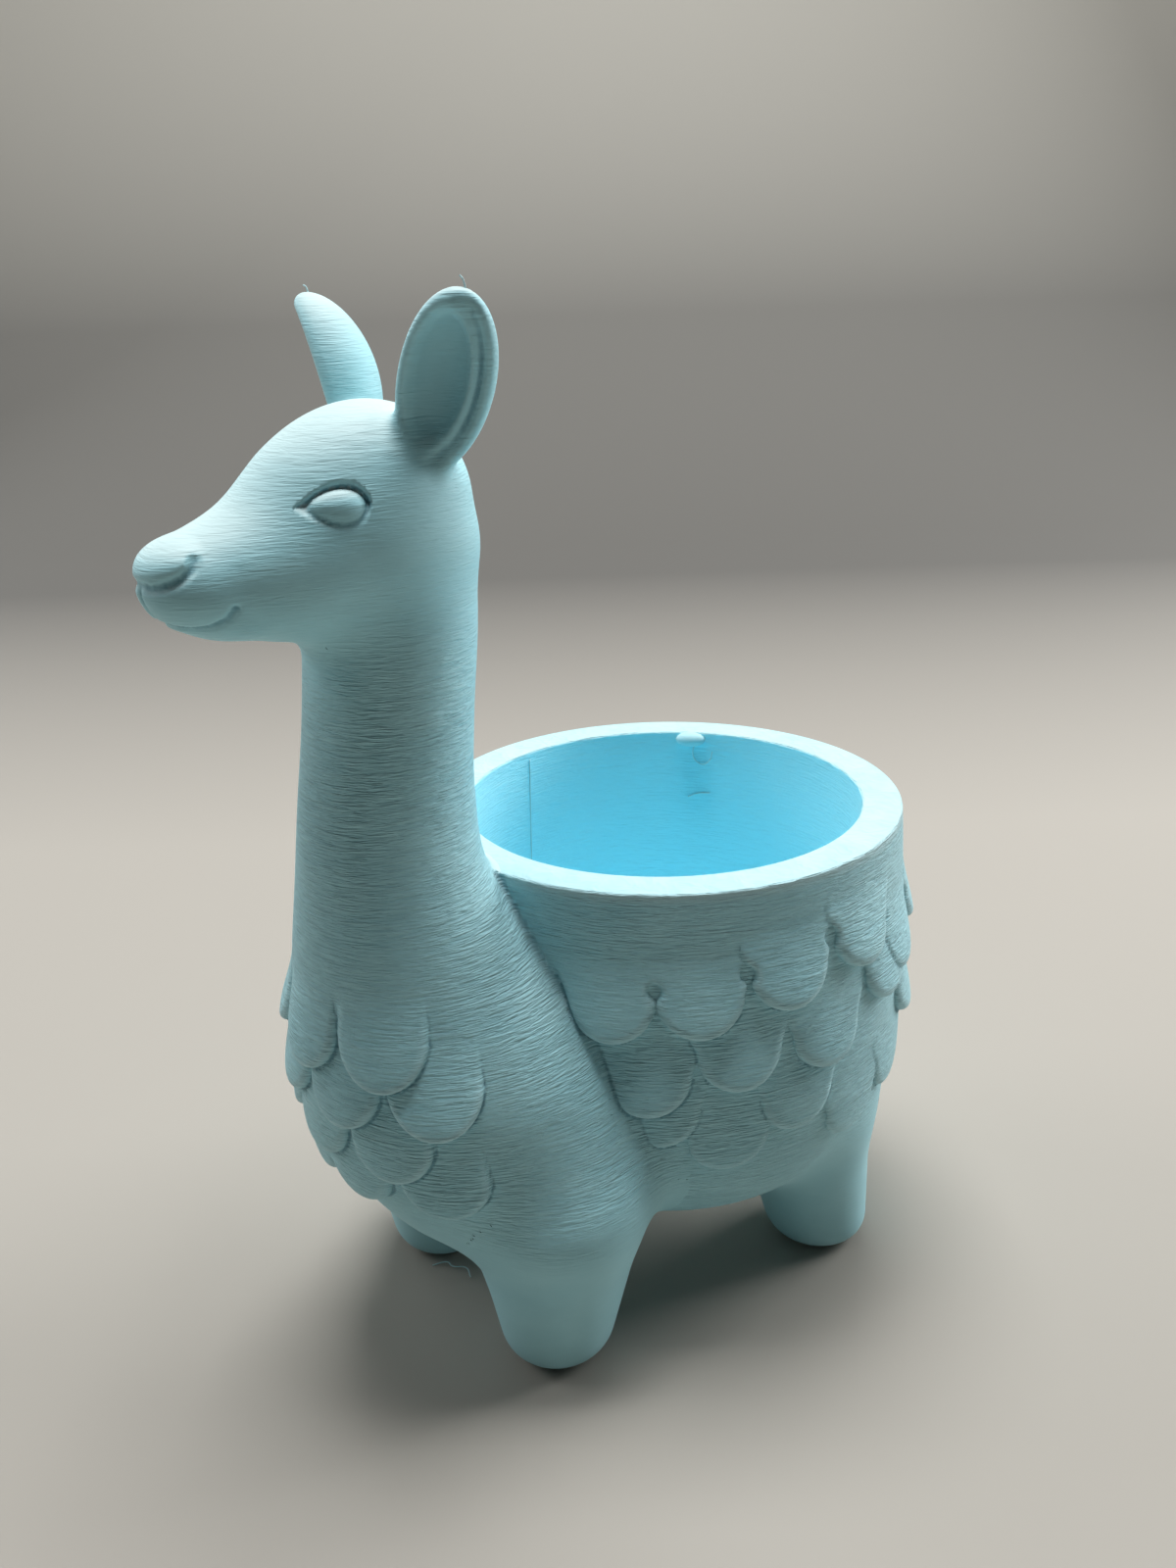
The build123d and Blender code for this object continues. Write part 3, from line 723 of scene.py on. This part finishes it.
def pit_relief(at):
    """How far the skin is sunk in a pit wherever two neighbours of the upper row part."""
    angle = np.degrees(np.arctan2(np.abs(at[:, 0]), -at[:, 1]))
    reach = np.hypot(at[:, 0], at[:, 1])
    locks = LOCK_ROWS["upper_locks"][1]
    sunk = np.zeros(len(at))
    for (angle_a, foot_a), (angle_b, foot_b) in zip(locks, locks[1:]):
        across = np.radians(angle - (angle_a + angle_b) / 2) * reach
        up = at[:, 2] - (foot_a + foot_b) / 2 - PIT_RISE
        sunk += PIT_DEPTH * bell(np.hypot(across, up), PIT_WIDTH)
    return sunk


# The skin.
# The print is one closed skin of plastic. All regions are blended into one distance field, and the
# skin is taken from it on a fine lattice, whose points each belong to the region nearest to them.

PIECES = [
    "chest", "neck", "head", "muzzle", "nose_pad", "left_eye", "right_eye", "left_ear", "right_ear",
    "left_front_leg", "right_front_leg", "left_rear_leg", "right_rear_leg",
    "upper_locks", "middle_locks", "lower_locks", "chest_locks",
]
NUMBER = {name: index + 1 for index, name in enumerate(PIECES)}
BELOW_POT_SKIN = 1.0
LEAST_RAISE = 0.02
CREASE_FILLET = 2.0
BREAST_LOSS = 0.15
ROW_GAIN = 0.3
# Low and high corner of the box that holds each region, on the left side
COLUMN_BOX = ((-1, -85, 8), (42, -4, 150))
FRONT_LEG_BOX = ((-1, -70, -9), (48, -8, 72))
REAR_LEG_BOX = ((2, -14, -9), (50, 42, 52))
HEAD_BOX = ((-1, -96, 118), (24, -30, 168))
NOSE_PAD_BOX = ((-1, -96, 126), (20, -70, 152))
MOUTH_BOX = ((-1, -92, 128), (12, -74, 146))
EYE_BOX = ((4, -72, 139), (20, -56, 153))
EAR_BOX = ((-1, -66, 138), (34, -32, 182))
BREAST_BOX = ((-1, -92, 28), (36, -44, 82))
ROW_BOX = ((-1, -56, 20), (56, 56, 88))
PIT_BOX = ((-1, -56, 60), (56, 56, 84))


def near(at, box, distance, outside=FAR):
    """A distance worked out only inside a box, to save work, and the same number all outside it."""
    low, high = np.array(box)
    inside = np.all((at > low) & (at < high), -1)
    values = np.full(len(at), outside, at.dtype)
    if inside.any():
        values[inside] = distance(at[inside])
    return values


def whole_field(places):
    """The blended distance at each place, and the number of the piece that the place belongs to."""
    at = np.stack([np.abs(places[:, 0]), places[:, 1], places[:, 2]], -1)
    left = places[:, 0] >= 0
    pot_skin = pot_distance(at)
    column = near(at, COLUMN_BOX, column_distance)
    front_leg = near(at, FRONT_LEG_BOX, lambda place: leg_distance(place, FRONT_LEG))
    rear_leg = near(at, REAR_LEG_BOX, lambda place: leg_distance(place, REAR_LEG))
    head = near(at, HEAD_BOX, head_distance)
    pad = near(at, NOSE_PAD_BOX, nose_pad_distance)
    ear = near(at, EAR_BOX, ear_distance)
    breast = near(at, BREAST_BOX, breast_lock_distance)
    rows = {
        name: near(at, ROW_BOX, lambda place: lock_row_distance(place, proud, locks))
        for name, (proud, locks) in LOCK_ROWS.items()
    }
    ball = near(at, EYE_BOX, lambda place: eye_ball_distance(eye_offset(place)))
    relief = near(at, MOUTH_BOX, face_relief, 0.0)
    relief += near(at, EYE_BOX, lambda place: eye_hollow(eye_offset(place)), 0.0)

    whole = blended(pot_skin, column, CREASE_FILLET)
    whole = blended(whole, front_leg, FRONT_FILLET)
    whole = blended(whole, rear_leg, REAR_FILLET)
    whole = np.minimum(whole, breast)
    whole = blended(whole, head, HEAD_FILLET)
    whole = blended(whole, ear, EAR_FILLET)
    whole = blended(whole, pad, NOSE_PAD_FILLET) + relief
    whole = blended(whole, ball, EYE_FILLET)
    whole = np.minimum(whole, np.min(list(rows.values()), 0))
    whole += near(at, PIT_BOX, pit_relief, 0.0)

    owners = {
        "column": column, "head": head, "pad": pad, "ball": ball, "ear": ear, "front": front_leg,
        "rear": rear_leg, "breast": breast + BREAST_LOSS,
        **{name: row - ROW_GAIN for name, row in rows.items()},
    }
    nearest = np.argmin(np.stack(list(owners.values()), -1), -1)

    def two_sided(stem):
        """The number of the left or the right piece, by the side that each place is on."""
        return np.where(left, NUMBER["left_" + stem], NUMBER["right_" + stem])

    names = {
        "column": np.where(at[:, 2] < RIM_HEIGHT, NUMBER["chest"], NUMBER["neck"]),
        "head": np.where(at[:, 1] > MUZZLE_START, NUMBER["head"], NUMBER["muzzle"]),
        "pad": NUMBER["nose_pad"], "ball": two_sided("eye"), "ear": two_sided("ear"),
        "front": two_sided("front_leg"), "rear": two_sided("rear_leg"),
        "breast": NUMBER["chest_locks"],
        **{name: NUMBER[name] for name in LOCK_ROWS},
    }
    owner = np.choose(nearest, [np.broadcast_to(names[key], len(at)) for key in owners])
    covered = (pot_skin < -BELOW_POT_SKIN) | (whole > pot_skin - LEAST_RAISE)
    owner = np.where((whole < 0) & ~covered, owner, 0)
    return whole, owner


# The lattice covers this box in blocks of cells, of which only those near the skin are worked out
CELL = 0.45
BLOCK = 8
LOWEST = np.array([-50.0, -94.0, -3.0])
HIGHEST = np.array([50.0, 50.0, 177.0])
OPEN_SHARE = 0.62
OPEN_MARGIN = OPEN_SHARE * np.sqrt(3) * BLOCK * CELL
MOST_AT_ONCE = 400000


def lattice(counts):
    """Whole-number places of a box of points, one row each."""
    return np.stack(np.meshgrid(*[np.arange(c) for c in counts], indexing="ij"), -1).reshape(-1, 3)


block_counts = np.ceil((HIGHEST - LOWEST) / (CELL * BLOCK)).astype(int)
block_corners = lattice(block_counts + 1)
coarse, coarse_owner = whole_field(LOWEST + block_corners * (CELL * BLOCK))
coarse = coarse.reshape(block_counts + 1)
coarse_owner = coarse_owner.reshape(block_counts + 1)
eight = lattice((2, 2, 2))


def at_corners(grid):
    """What a grid holds at the eight corners of each block."""
    a, b, c = block_counts
    return np.stack([grid[i:i + a, j:j + b, k:k + c] for i, j, k in eight], -1)


corner_distance = at_corners(coarse)
block_owners = at_corners(coarse_owner)
borders = (block_owners.min(-1) != block_owners.max(-1)) & (corner_distance.min(-1) < OPEN_MARGIN)
wanted = (np.abs(corner_distance).min(-1) < OPEN_MARGIN) | borders
for axis in range(3):
    for step in (1, -1):
        wanted |= np.roll(borders, step, axis)
blocks = np.argwhere(wanted)
block_points = (blocks[:, None, :] * BLOCK + lattice((BLOCK + 1,) * 3)[None]).reshape(-1, 3)
portions = np.array_split(block_points, max(1, len(block_points) // MOST_AT_ONCE))
fields = [whole_field(LOWEST + portion * CELL) for portion in portions]
shape = (len(blocks),) + (BLOCK + 1,) * 3
values = np.concatenate([value for value, _ in fields]).reshape(shape)
owner = np.concatenate([number for _, number in fields]).reshape(shape).astype(np.int16)


def corner_values(grid, step):
    """The values at one corner of every cell of every block."""
    i, j, k = step
    return grid[:, i:i + BLOCK, j:j + BLOCK, k:k + BLOCK]


corner_owner = np.stack([corner_values(owner, step) for step in eight], -1)
has_vertex = corner_owner.min(-1) != corner_owner.max(-1)
corner_value = np.stack([corner_values(values, step) for step in eight], -1)[has_vertex]
corner_owner = corner_owner[has_vertex]
cell_block, *cell_in_block = np.nonzero(has_vertex)
cell_place = blocks[cell_block] * BLOCK + np.stack(cell_in_block, -1)
span = block_counts * BLOCK + 2


def cell_number(place):
    """One whole number for each cell of the lattice."""
    return (place[..., 0] * span[1] + place[..., 1]) * span[2] + place[..., 2]


# Each vertex starts at the mean of the places where its cell's edges cross the skin
pairs = [(a, b) for a in range(8) for b in range(a + 1, 8)]
cell_edges = [(a, b) for a, b in pairs if np.abs(eight[a] - eight[b]).sum() == 1]
total = np.zeros((len(cell_place), 3))
count = np.zeros(len(cell_place))
inner_total = np.zeros_like(total)
inner_count = np.zeros_like(count)
for a, b in cell_edges:
    value_a, value_b = corner_value[:, a], corner_value[:, b]
    differ = corner_owner[:, a] != corner_owner[:, b]
    crossing = differ & ((value_a > 0) != (value_b > 0))
    share = np.where(crossing, value_a / np.where(crossing, value_a - value_b, 1), 0.5)[:, None]
    point = eight[a] + share * (eight[b] - eight[a])
    total[crossing] += point[crossing]
    count += crossing
    inner = differ & ~crossing
    inner_total[inner] += point[inner]
    inner_count += inner
open_cell = count > 0
start = np.where(
    open_cell[:, None], total / np.maximum(count, 1)[:, None],
    inner_total / np.maximum(inner_count, 1)[:, None],
)
vertices = LOWEST + (cell_place + start) * CELL
sunk = open_cell & np.any((corner_owner == 0) & (corner_value < 0), -1)


SLOPE_STEP = 0.06
LEAST_SLOPE = 0.05
SUNK_DEPTH = 0.12
MOVES = 2
LONGEST_MOVE = 0.6 * CELL


def slope_at(places, step=SLOPE_STEP):
    """The field's value and its slope along x, y and z, from small steps each way."""
    value = whole_field(places)[0]
    slope = np.stack([
        (whole_field(places + step * unit)[0] - whole_field(places - step * unit)[0]) / (2 * step)
        for unit in np.eye(3)
    ], -1)
    return value, slope


# The open vertices are moved on to the skin, and where the pot's own skin takes over, just below it
moving = np.nonzero(open_cell)[0]
target = np.where(sunk[moving], -SUNK_DEPTH, 0.0)
for _ in range(MOVES):
    value, slope = slope_at(vertices[moving])
    steepness = np.maximum((slope**2).sum(-1), LEAST_SLOPE)
    move = ((target - value) / steepness)[:, None] * slope
    length = np.linalg.norm(move, axis=-1, keepdims=True)
    vertices[moving] += move * np.minimum(1, LONGEST_MOVE / np.maximum(length, LEAST))
vertices[:, 2] = np.maximum(vertices[:, 2], 0)
_, slope = slope_at(vertices[moving])
normals = np.zeros_like(vertices)
normals[moving] = slope / np.maximum(np.linalg.norm(slope, axis=-1, keepdims=True), LEAST)

# Wherever two neighbouring lattice points differ, a face joins the four cells round their edge
numbers = cell_number(cell_place)
order = np.argsort(numbers)
sorted_numbers = numbers[order]
face_owner, face_cells = [], []
for axis in range(3):
    step, second, third = np.roll(np.eye(3, dtype=int), -axis, 0)
    here = corner_values(owner, (0, 0, 0))
    there = corner_values(owner, step)
    where = np.nonzero(here != there)
    place = blocks[where[0]] * BLOCK + np.stack(where[1:], -1)
    ring = np.stack([
        cell_number(place - back) for back in (second + third, third, 0 * third, second)
    ], -1)
    for inside, flip in ((here[where], False), (there[where], True)):
        chosen = inside > 0
        face_owner.append(inside[chosen])
        face_cells.append(ring[chosen][:, ::-1] if flip else ring[chosen])
face_owner = np.concatenate(face_owner)
face_cells = np.concatenate(face_cells)
found = np.minimum(np.searchsorted(sorted_numbers, face_cells), len(order) - 1)
complete = (sorted_numbers[found] == face_cells).all(-1)
face_vertices = order[found]

LEAST_STEP_SQUARED = 0.01
LEAST_PAIRS = 5
# How the marks for the material fade: between which heights or slopes, and by how much. The painted
# highlight on outward edges fades out up the neck, and the painted highlight on faces that look up comes in
# with the slope
EDGE_HIGHLIGHT_FADE_HEIGHTS = (84, 118)
EDGE_HIGHLIGHT_FADE = 0.8
TOP_HIGHLIGHT_SLOPES = (0.35, 0.95)
CALM_FOOT_HEIGHTS = (24, 42)
CALM_TOP_SLOPES = (0.35, 0.9)
CALM_TOP = 0.8
CALM_HEAD_HEIGHTS = (112, 134)
CALM_HEAD = 0.85


def outward_bend(points, normals, quads, left_out):
    """How sharply the skin bends at each vertex, in 1/mm and above zero on outward edges.

    It is the mean depth of the neighbours below the tangent plane, over half their distance squared.
    """
    pairs = np.concatenate([quads[:, [i, (i + 1) % 4]] for i in range(4)])
    pairs = np.concatenate([pairs, pairs[:, ::-1]])
    pairs = pairs[~left_out[pairs].any(-1)]
    step = points[pairs[:, 1]] - points[pairs[:, 0]]
    reach = np.maximum((step**2).sum(-1), LEAST_STEP_SQUARED)
    depth = -(step * normals[pairs[:, 0]]).sum(-1) * 2 / reach
    count = np.bincount(pairs[:, 0], minlength=len(points))
    enough, count = count > LEAST_PAIRS, np.maximum(count, 1)
    bend = enough * np.bincount(pairs[:, 0], depth, len(points)) / count
    return (bend + np.bincount(pairs[:, 0], bend[pairs[:, 1]], len(points)) / count) / 2


bend = outward_bend(vertices, normals, face_vertices[complete], sunk | ~open_cell)
height, upward = vertices[:, 2], normals[:, 2]
# The painted highlight on outward edges fades out between these heights, and the painted crease shade stays
bend *= np.where(bend > 0, 1 - EDGE_HIGHLIGHT_FADE * smooth_step(height, *EDGE_HIGHLIGHT_FADE_HEIGHTS), 1.0)
# Painted highlight: the more a face looks up, the more it is mixed towards the paler blue
pale = smooth_step(upward, *TOP_HIGHLIGHT_SLOPES)
calm = np.max([
    1 - smooth_step(height, *CALM_FOOT_HEIGHTS), CALM_TOP * smooth_step(upward, *CALM_TOP_SLOPES),
    CALM_HEAD * smooth_step(height, *CALM_HEAD_HEIGHTS),
], 0)

for name in PIECES:
    quads = face_vertices[(face_owner == NUMBER[name]) & complete]
    used, compact = np.unique(quads, return_inverse=True)
    quads = compact.reshape(-1, 4)
    piece = mesh_piece(name + "_skin", vertices[used], quads, np.zeros((0, 3), int))
    mesh_normals = np.zeros(len(used) * 3, np.float32)
    piece.data.vertices.foreach_get("normal", mesh_normals)
    piece_normals = normals[used]
    missing = ~piece_normals.any(-1)
    piece_normals[missing] = mesh_normals.reshape(-1, 3)[missing]
    piece.data.normals_split_custom_set_from_vertices(piece_normals)
    finished(piece, name)
    marked(piece, edge=bend[used], calm=calm[used], pale=pale[used])


# Print flaws.
# Fine threads that the print head drew out: a seam and a loop in the pot, a hair on each ear's tip
# and one by a foot, and a lump on the rim's inner edge. All are the same plastic.

THREAD_RADIUS = 0.12
THREAD_SIDES = 8
# Each thread: the node it stands on, and its bends as side, back and height
THREADS = {
    "pot_seam": ("pot_shell", [(-34.72, -4.6, 84.5), (-34.58, -5.5, 64), (-34.5, -6.0, 40)]),
    "rim_loop": ("pot_shell", [
        (-21.2, 27.6, 84.2), (-22.0, 26.9, 82.4), (-21.7, 27.0, 80.3), (-20.3, 28.2, 79.0),
        (-18.9, 29.1, 80.3), (-18.6, 29.3, 82.2),
    ]),
    "wall_hair": ("pot_shell", [(-22.8, 26.4, 72.0), (-21.2, 27.7, 73.0), (-19.2, 29.1, 73.1)]),
    "left_ear_hair": ("left_ear", [(21.3, -49.0, 171.6), (21.2, -49.2, 172.9), (20.7, -49.4, 173.4)]),
    "right_ear_hair": ("right_ear", [(-21.3, -49.0, 171.6), (-21.6, -49.2, 172.9), (-22.1, -49.4, 173.1)]),
    "foot_hair": ("right_front_leg", [
        (-11.6, -48.4, 0.3), (-10.4, -45.6, 0.7), (-8.8, -46.0, 0.4), (-6.6, -43.8, 0.9), (-4.4, -44.6, 0.3),
    ]),
}
RIM_LUMP_PLACE = np.array([-22.2, 26.6, 84.6])
RIM_LUMP_RADII = np.array([3.0, 1.7, 1.5])
RIM_LUMP_RINGS = 17
RIM_LUMP_SIDES = 16
RIM_LUMP_TIP = 0.05
THREAD_PALENESS = 0.7
LUMP_PALENESS = 0.3
CORNER_SHARE = 0.25
CORNER_ROUNDS = 3
# A direction that no thread runs in
OFF_EVERY_WAY = [0.31, 0.22, 0.93]


def rounded_way(bends, rounds=CORNER_ROUNDS):
    """The way through the bends with every corner cut off at a quarter of its sides, a few times."""
    way = np.array(bends, float)
    for _ in range(rounds):
        near_start = (1 - CORNER_SHARE) * way[:-1] + CORNER_SHARE * way[1:]
        near_end = CORNER_SHARE * way[:-1] + (1 - CORNER_SHARE) * way[1:]
        corners = np.stack([near_start, near_end], 1).reshape(-1, 3)
        way = np.concatenate([way[:1], corners, way[-1:]])
    return way


def tube(way, radius, sides):
    """A round closed tube: each point of the way plus radius times (cosine, sine) square to it."""
    along = np.gradient(way, axis=0)
    along /= np.linalg.norm(along, axis=-1, keepdims=True)
    across = np.cross(along, OFF_EVERY_WAY)
    across /= np.linalg.norm(across, axis=-1, keepdims=True)
    turn = np.linspace(0, 2 * np.pi, sides, endpoint=False)[:, None]
    rings = way[:, None] + radius * (
        np.cos(turn) * across[:, None] + np.sin(turn) * np.cross(along, across)[:, None]
    )
    here, after = np.arange(sides), (np.arange(sides) + 1) % sides
    rows = np.arange(len(way) - 1)[:, None] * sides
    quads = np.stack([rows + here, rows + after, rows + sides + after, rows + sides + here], -1)
    last = (len(way) - 1) * sides
    start, end = len(way) * sides, len(way) * sides + 1
    caps = np.concatenate([
        np.stack([after, here, np.full(sides, start)], -1),
        np.stack([last + here, last + after, np.full(sides, end)], -1),
    ])
    return np.concatenate([rings.reshape(-1, 3), way[:1], way[-1:]]), quads.reshape(-1, 4), caps


def lump(centre, radii):
    """A lump along the rim: a tube of one long and one wide, its girth the root of 1 - x squared."""
    way = np.linspace(-1, 1, RIM_LUMP_RINGS)[:, None] * (1, 0, 0)
    points, quads, caps = tube(way, 1.0, RIM_LUMP_SIDES)
    points[:, 1:] *= np.sqrt(np.maximum(1 - points[:, :1] ** 2, RIM_LUMP_TIP**2))
    along = np.array([-centre[1], centre[0], 0]) / np.hypot(*centre[:2])
    out = np.array([-along[1], along[0], 0])
    return (points * radii) @ np.stack([along, out, (0, 0, 1)]) + centre, quads, caps


def flaw(name, mesh, node, paleness):
    """A flaw on a node, in plastic that is calm and paler all over."""
    piece = finished(mesh_piece(name, *mesh), node)
    all_over = np.ones(len(piece.data.vertices))
    marked(piece, calm=all_over, pale=paleness * all_over)


for name, (node, bends) in THREADS.items():
    flaw(name, tube(rounded_way(bends), THREAD_RADIUS, THREAD_SIDES), node, THREAD_PALENESS)
flaw("rim_lump", lump(RIM_LUMP_PLACE, RIM_LUMP_RADII), "pot_shell", LUMP_PALENESS)


# Floor and light.
# The object stands on a matt floor, which runs up into a backdrop behind it, with painted shade in the
# bend and painted light towards the top. Five soft lamps hang above, beside and behind it.

CAMERA_TURN = np.radians(52.94)
FLOOR_HALF_WIDTH = 3.0
FLOOR_FRONT = -1.5
SWEEP_START = 0.7
SWEEP_RADIUS = 0.5
SWEEP_STEPS = 24
BACKDROP_HEIGHT = 1.2
FLOOR_ROUGHNESS = 0.9
# Colours along the sweep, each with the way back plus the height at which it holds, in metres: grey by the
# object, painted shade in the bend, and painted light rising to a pale top
FLOOR_COLOURS = [
    (0.20, (0.37, 0.35, 0.315, 1.0)), (0.62, (0.14, 0.137, 0.128, 1.0)),
    (1.20, (0.25, 0.245, 0.228, 1.0)), (1.70, (0.76, 0.74, 0.67, 1.0)),
]
RAMP_REACH = 2.0
SWEEP_BACK = np.array([-np.sin(CAMERA_TURN), np.cos(CAMERA_TURN)])


def floor_sweep():
    """A floor that runs level and then up a quarter circle into an upright backdrop."""
    turn = np.linspace(0, np.pi / 2, SWEEP_STEPS)
    bend = SWEEP_START + SWEEP_RADIUS * np.sin(turn)
    run = np.concatenate([[FLOOR_FRONT], bend, [SWEEP_START + SWEEP_RADIUS]])
    rise = np.concatenate([[0.0], SWEEP_RADIUS * (1 - np.cos(turn)), [BACKDROP_HEIGHT]])
    side = np.array([-SWEEP_BACK[1], SWEEP_BACK[0]])
    points = []
    for offset in (-FLOOR_HALF_WIDTH, FLOOR_HALF_WIDTH):
        level = run[:, None] * SWEEP_BACK + offset * side
        points.append(np.concatenate([level, rise[:, None]], -1))
    count = len(run)
    quads = [(i, i + 1, count + i + 1, count + i) for i in range(count - 1)]
    return np.concatenate(points), quads


sweep_points, sweep_quads = floor_sweep()
floor_mesh = bpy.data.meshes.new("floor")
floor_mesh.from_pydata(sweep_points.tolist(), [], sweep_quads)
floor_mesh.update()
for polygon in floor_mesh.polygons:
    polygon.use_smooth = True
floor = bpy.data.objects.new("floor", floor_mesh)
bpy.context.scene.collection.objects.link(floor)
floor_paint = bpy.data.materials.new("floor_paint")
floor_paint.use_nodes = True
paint_nodes, paint_links = floor_paint.node_tree.nodes, floor_paint.node_tree.links
paint_nodes["Principled BSDF"].inputs["Roughness"].default_value = FLOOR_ROUGHNESS
sweep_place = paint_nodes.new("ShaderNodeTexCoord")
way_back = paint_nodes.new("ShaderNodeVectorMath")
way_back.operation = "DOT_PRODUCT"
way_back.inputs[1].default_value = (*SWEEP_BACK, 1.0)
ramp_place = paint_nodes.new("ShaderNodeMath")
ramp_place.operation = "MULTIPLY"
ramp_place.inputs[1].default_value = 1 / RAMP_REACH
sweep_shade = paint_nodes.new("ShaderNodeValToRGB")
while len(sweep_shade.color_ramp.elements) < len(FLOOR_COLOURS):
    sweep_shade.color_ramp.elements.new(0.5)
for element, (way, colour) in zip(sweep_shade.color_ramp.elements, FLOOR_COLOURS):
    element.position = way / RAMP_REACH
    element.color = colour
paint_links.new(sweep_place.outputs["Object"], way_back.inputs[0])
paint_links.new(way_back.outputs["Value"], ramp_place.inputs[0])
paint_links.new(ramp_place.outputs["Value"], sweep_shade.inputs["Fac"])
paint_links.new(sweep_shade.outputs["Color"], paint_nodes["Principled BSDF"].inputs["Base Color"])
floor_mesh.materials.append(floor_paint)


# Each lamp: its place, the height of its aim over the middle, its width and its power in watts
LAMPS = {
    "overhead_lamp": ((-0.12, 0.09, 1.1), 0.07, 0.5, 13.5),
    "left_lamp": ((-0.80, -0.62, 0.62), 0.07, 0.5, 3.2),
    "shoulder_lamp": ((0.35, 0.62, 1.0), 0.05, 0.35, 1.6),
    "right_lamp": ((0.184, 0.989, 0.40), 0.07, 0.5, 7.5),
    "back_lamp": ((-0.9, -0.1, 0.45), 0.10, 0.5, 1.2),
}
SURROUND_GLOW = (0.018, 0.0185, 0.019, 1.0)
SURROUND_SEEN = (0.40, 0.39, 0.36, 1.0)


def soft_lamp(name, place, aim_height, size, power):
    """A square soft lamp at a place, turned to face its aim."""
    light = bpy.data.lights.new(name, "AREA")
    light.shape = "SQUARE"
    light.size = size
    light.energy = power
    lamp = bpy.data.objects.new(name, light)
    lamp.location = place
    facing = Vector((0, 0, aim_height)) - Vector(place)
    lamp.rotation_euler = facing.to_track_quat("-Z", "Y").to_euler()
    bpy.context.scene.collection.objects.link(lamp)


for name, lamp_values in LAMPS.items():
    soft_lamp(name, *lamp_values)

world = bpy.data.worlds.new("studio")
world.use_nodes = True
bpy.context.scene.world = world
# The lens, gloss and glass see a plain pale surround, and everything else gets a faint glow from it
world_nodes, world_links = world.node_tree.nodes, world.node_tree.links
light_path = world_nodes.new("ShaderNodeLightPath")
seen = light_path.outputs["Is Camera Ray"]
for ray_kind in ("Is Glossy Ray", "Is Transmission Ray"):
    either = world_nodes.new("ShaderNodeMath")
    either.operation = "MAXIMUM"
    world_links.new(seen, either.inputs[0])
    world_links.new(light_path.outputs[ray_kind], either.inputs[1])
    seen = either.outputs["Value"]
surround = mixed(world.node_tree, "RGBA", SURROUND_GLOW, SURROUND_SEEN, seen)
world_links.new(surround, world_nodes["Background"].inputs["Color"])
world_nodes["Background"].inputs["Strength"].default_value = 1.0
bpy.context.scene.view_settings.view_transform = "Standard"


# Camera.
# It stands where the photograph was taken from, in front of the animal's left shoulder and level
# with its ears, and looks down at it.

CAMERA_PLACE = np.array([168.5, -143.9 + POT_AXIS_Y, 171.7]) * MM
CAMERA_DOWN = np.radians(20.64)
CAMERA_ROLL = np.radians(-1.97)
LENS_PIXELS = 1350.0
SENSOR_WIDTH = 36.0
PHOTO_HEIGHT = 1600
NEAREST_SEEN = 0.01

backwards = np.array([
    np.sin(CAMERA_TURN) * np.cos(CAMERA_DOWN), -np.cos(CAMERA_TURN) * np.cos(CAMERA_DOWN),
    np.sin(CAMERA_DOWN),
])
level_right = np.cross(-backwards, [0, 0, 1])
level_right /= np.linalg.norm(level_right)
level_up = np.cross(level_right, -backwards)
right = np.cos(CAMERA_ROLL) * level_right + np.sin(CAMERA_ROLL) * level_up
up = -np.sin(CAMERA_ROLL) * level_right + np.cos(CAMERA_ROLL) * level_up
camera_data = bpy.data.cameras.new("camera")
camera_data.sensor_width = SENSOR_WIDTH
camera_data.lens = SENSOR_WIDTH * LENS_PIXELS / PHOTO_HEIGHT
camera_data.clip_start = NEAREST_SEEN
camera = bpy.data.objects.new("camera", camera_data)
pose = np.eye(4)
pose[:3, 0], pose[:3, 1], pose[:3, 2], pose[:3, 3] = right, up, backwards, CAMERA_PLACE
camera.matrix_world = Matrix(pose.tolist())
bpy.context.scene.collection.objects.link(camera)
bpy.context.scene.camera = camera
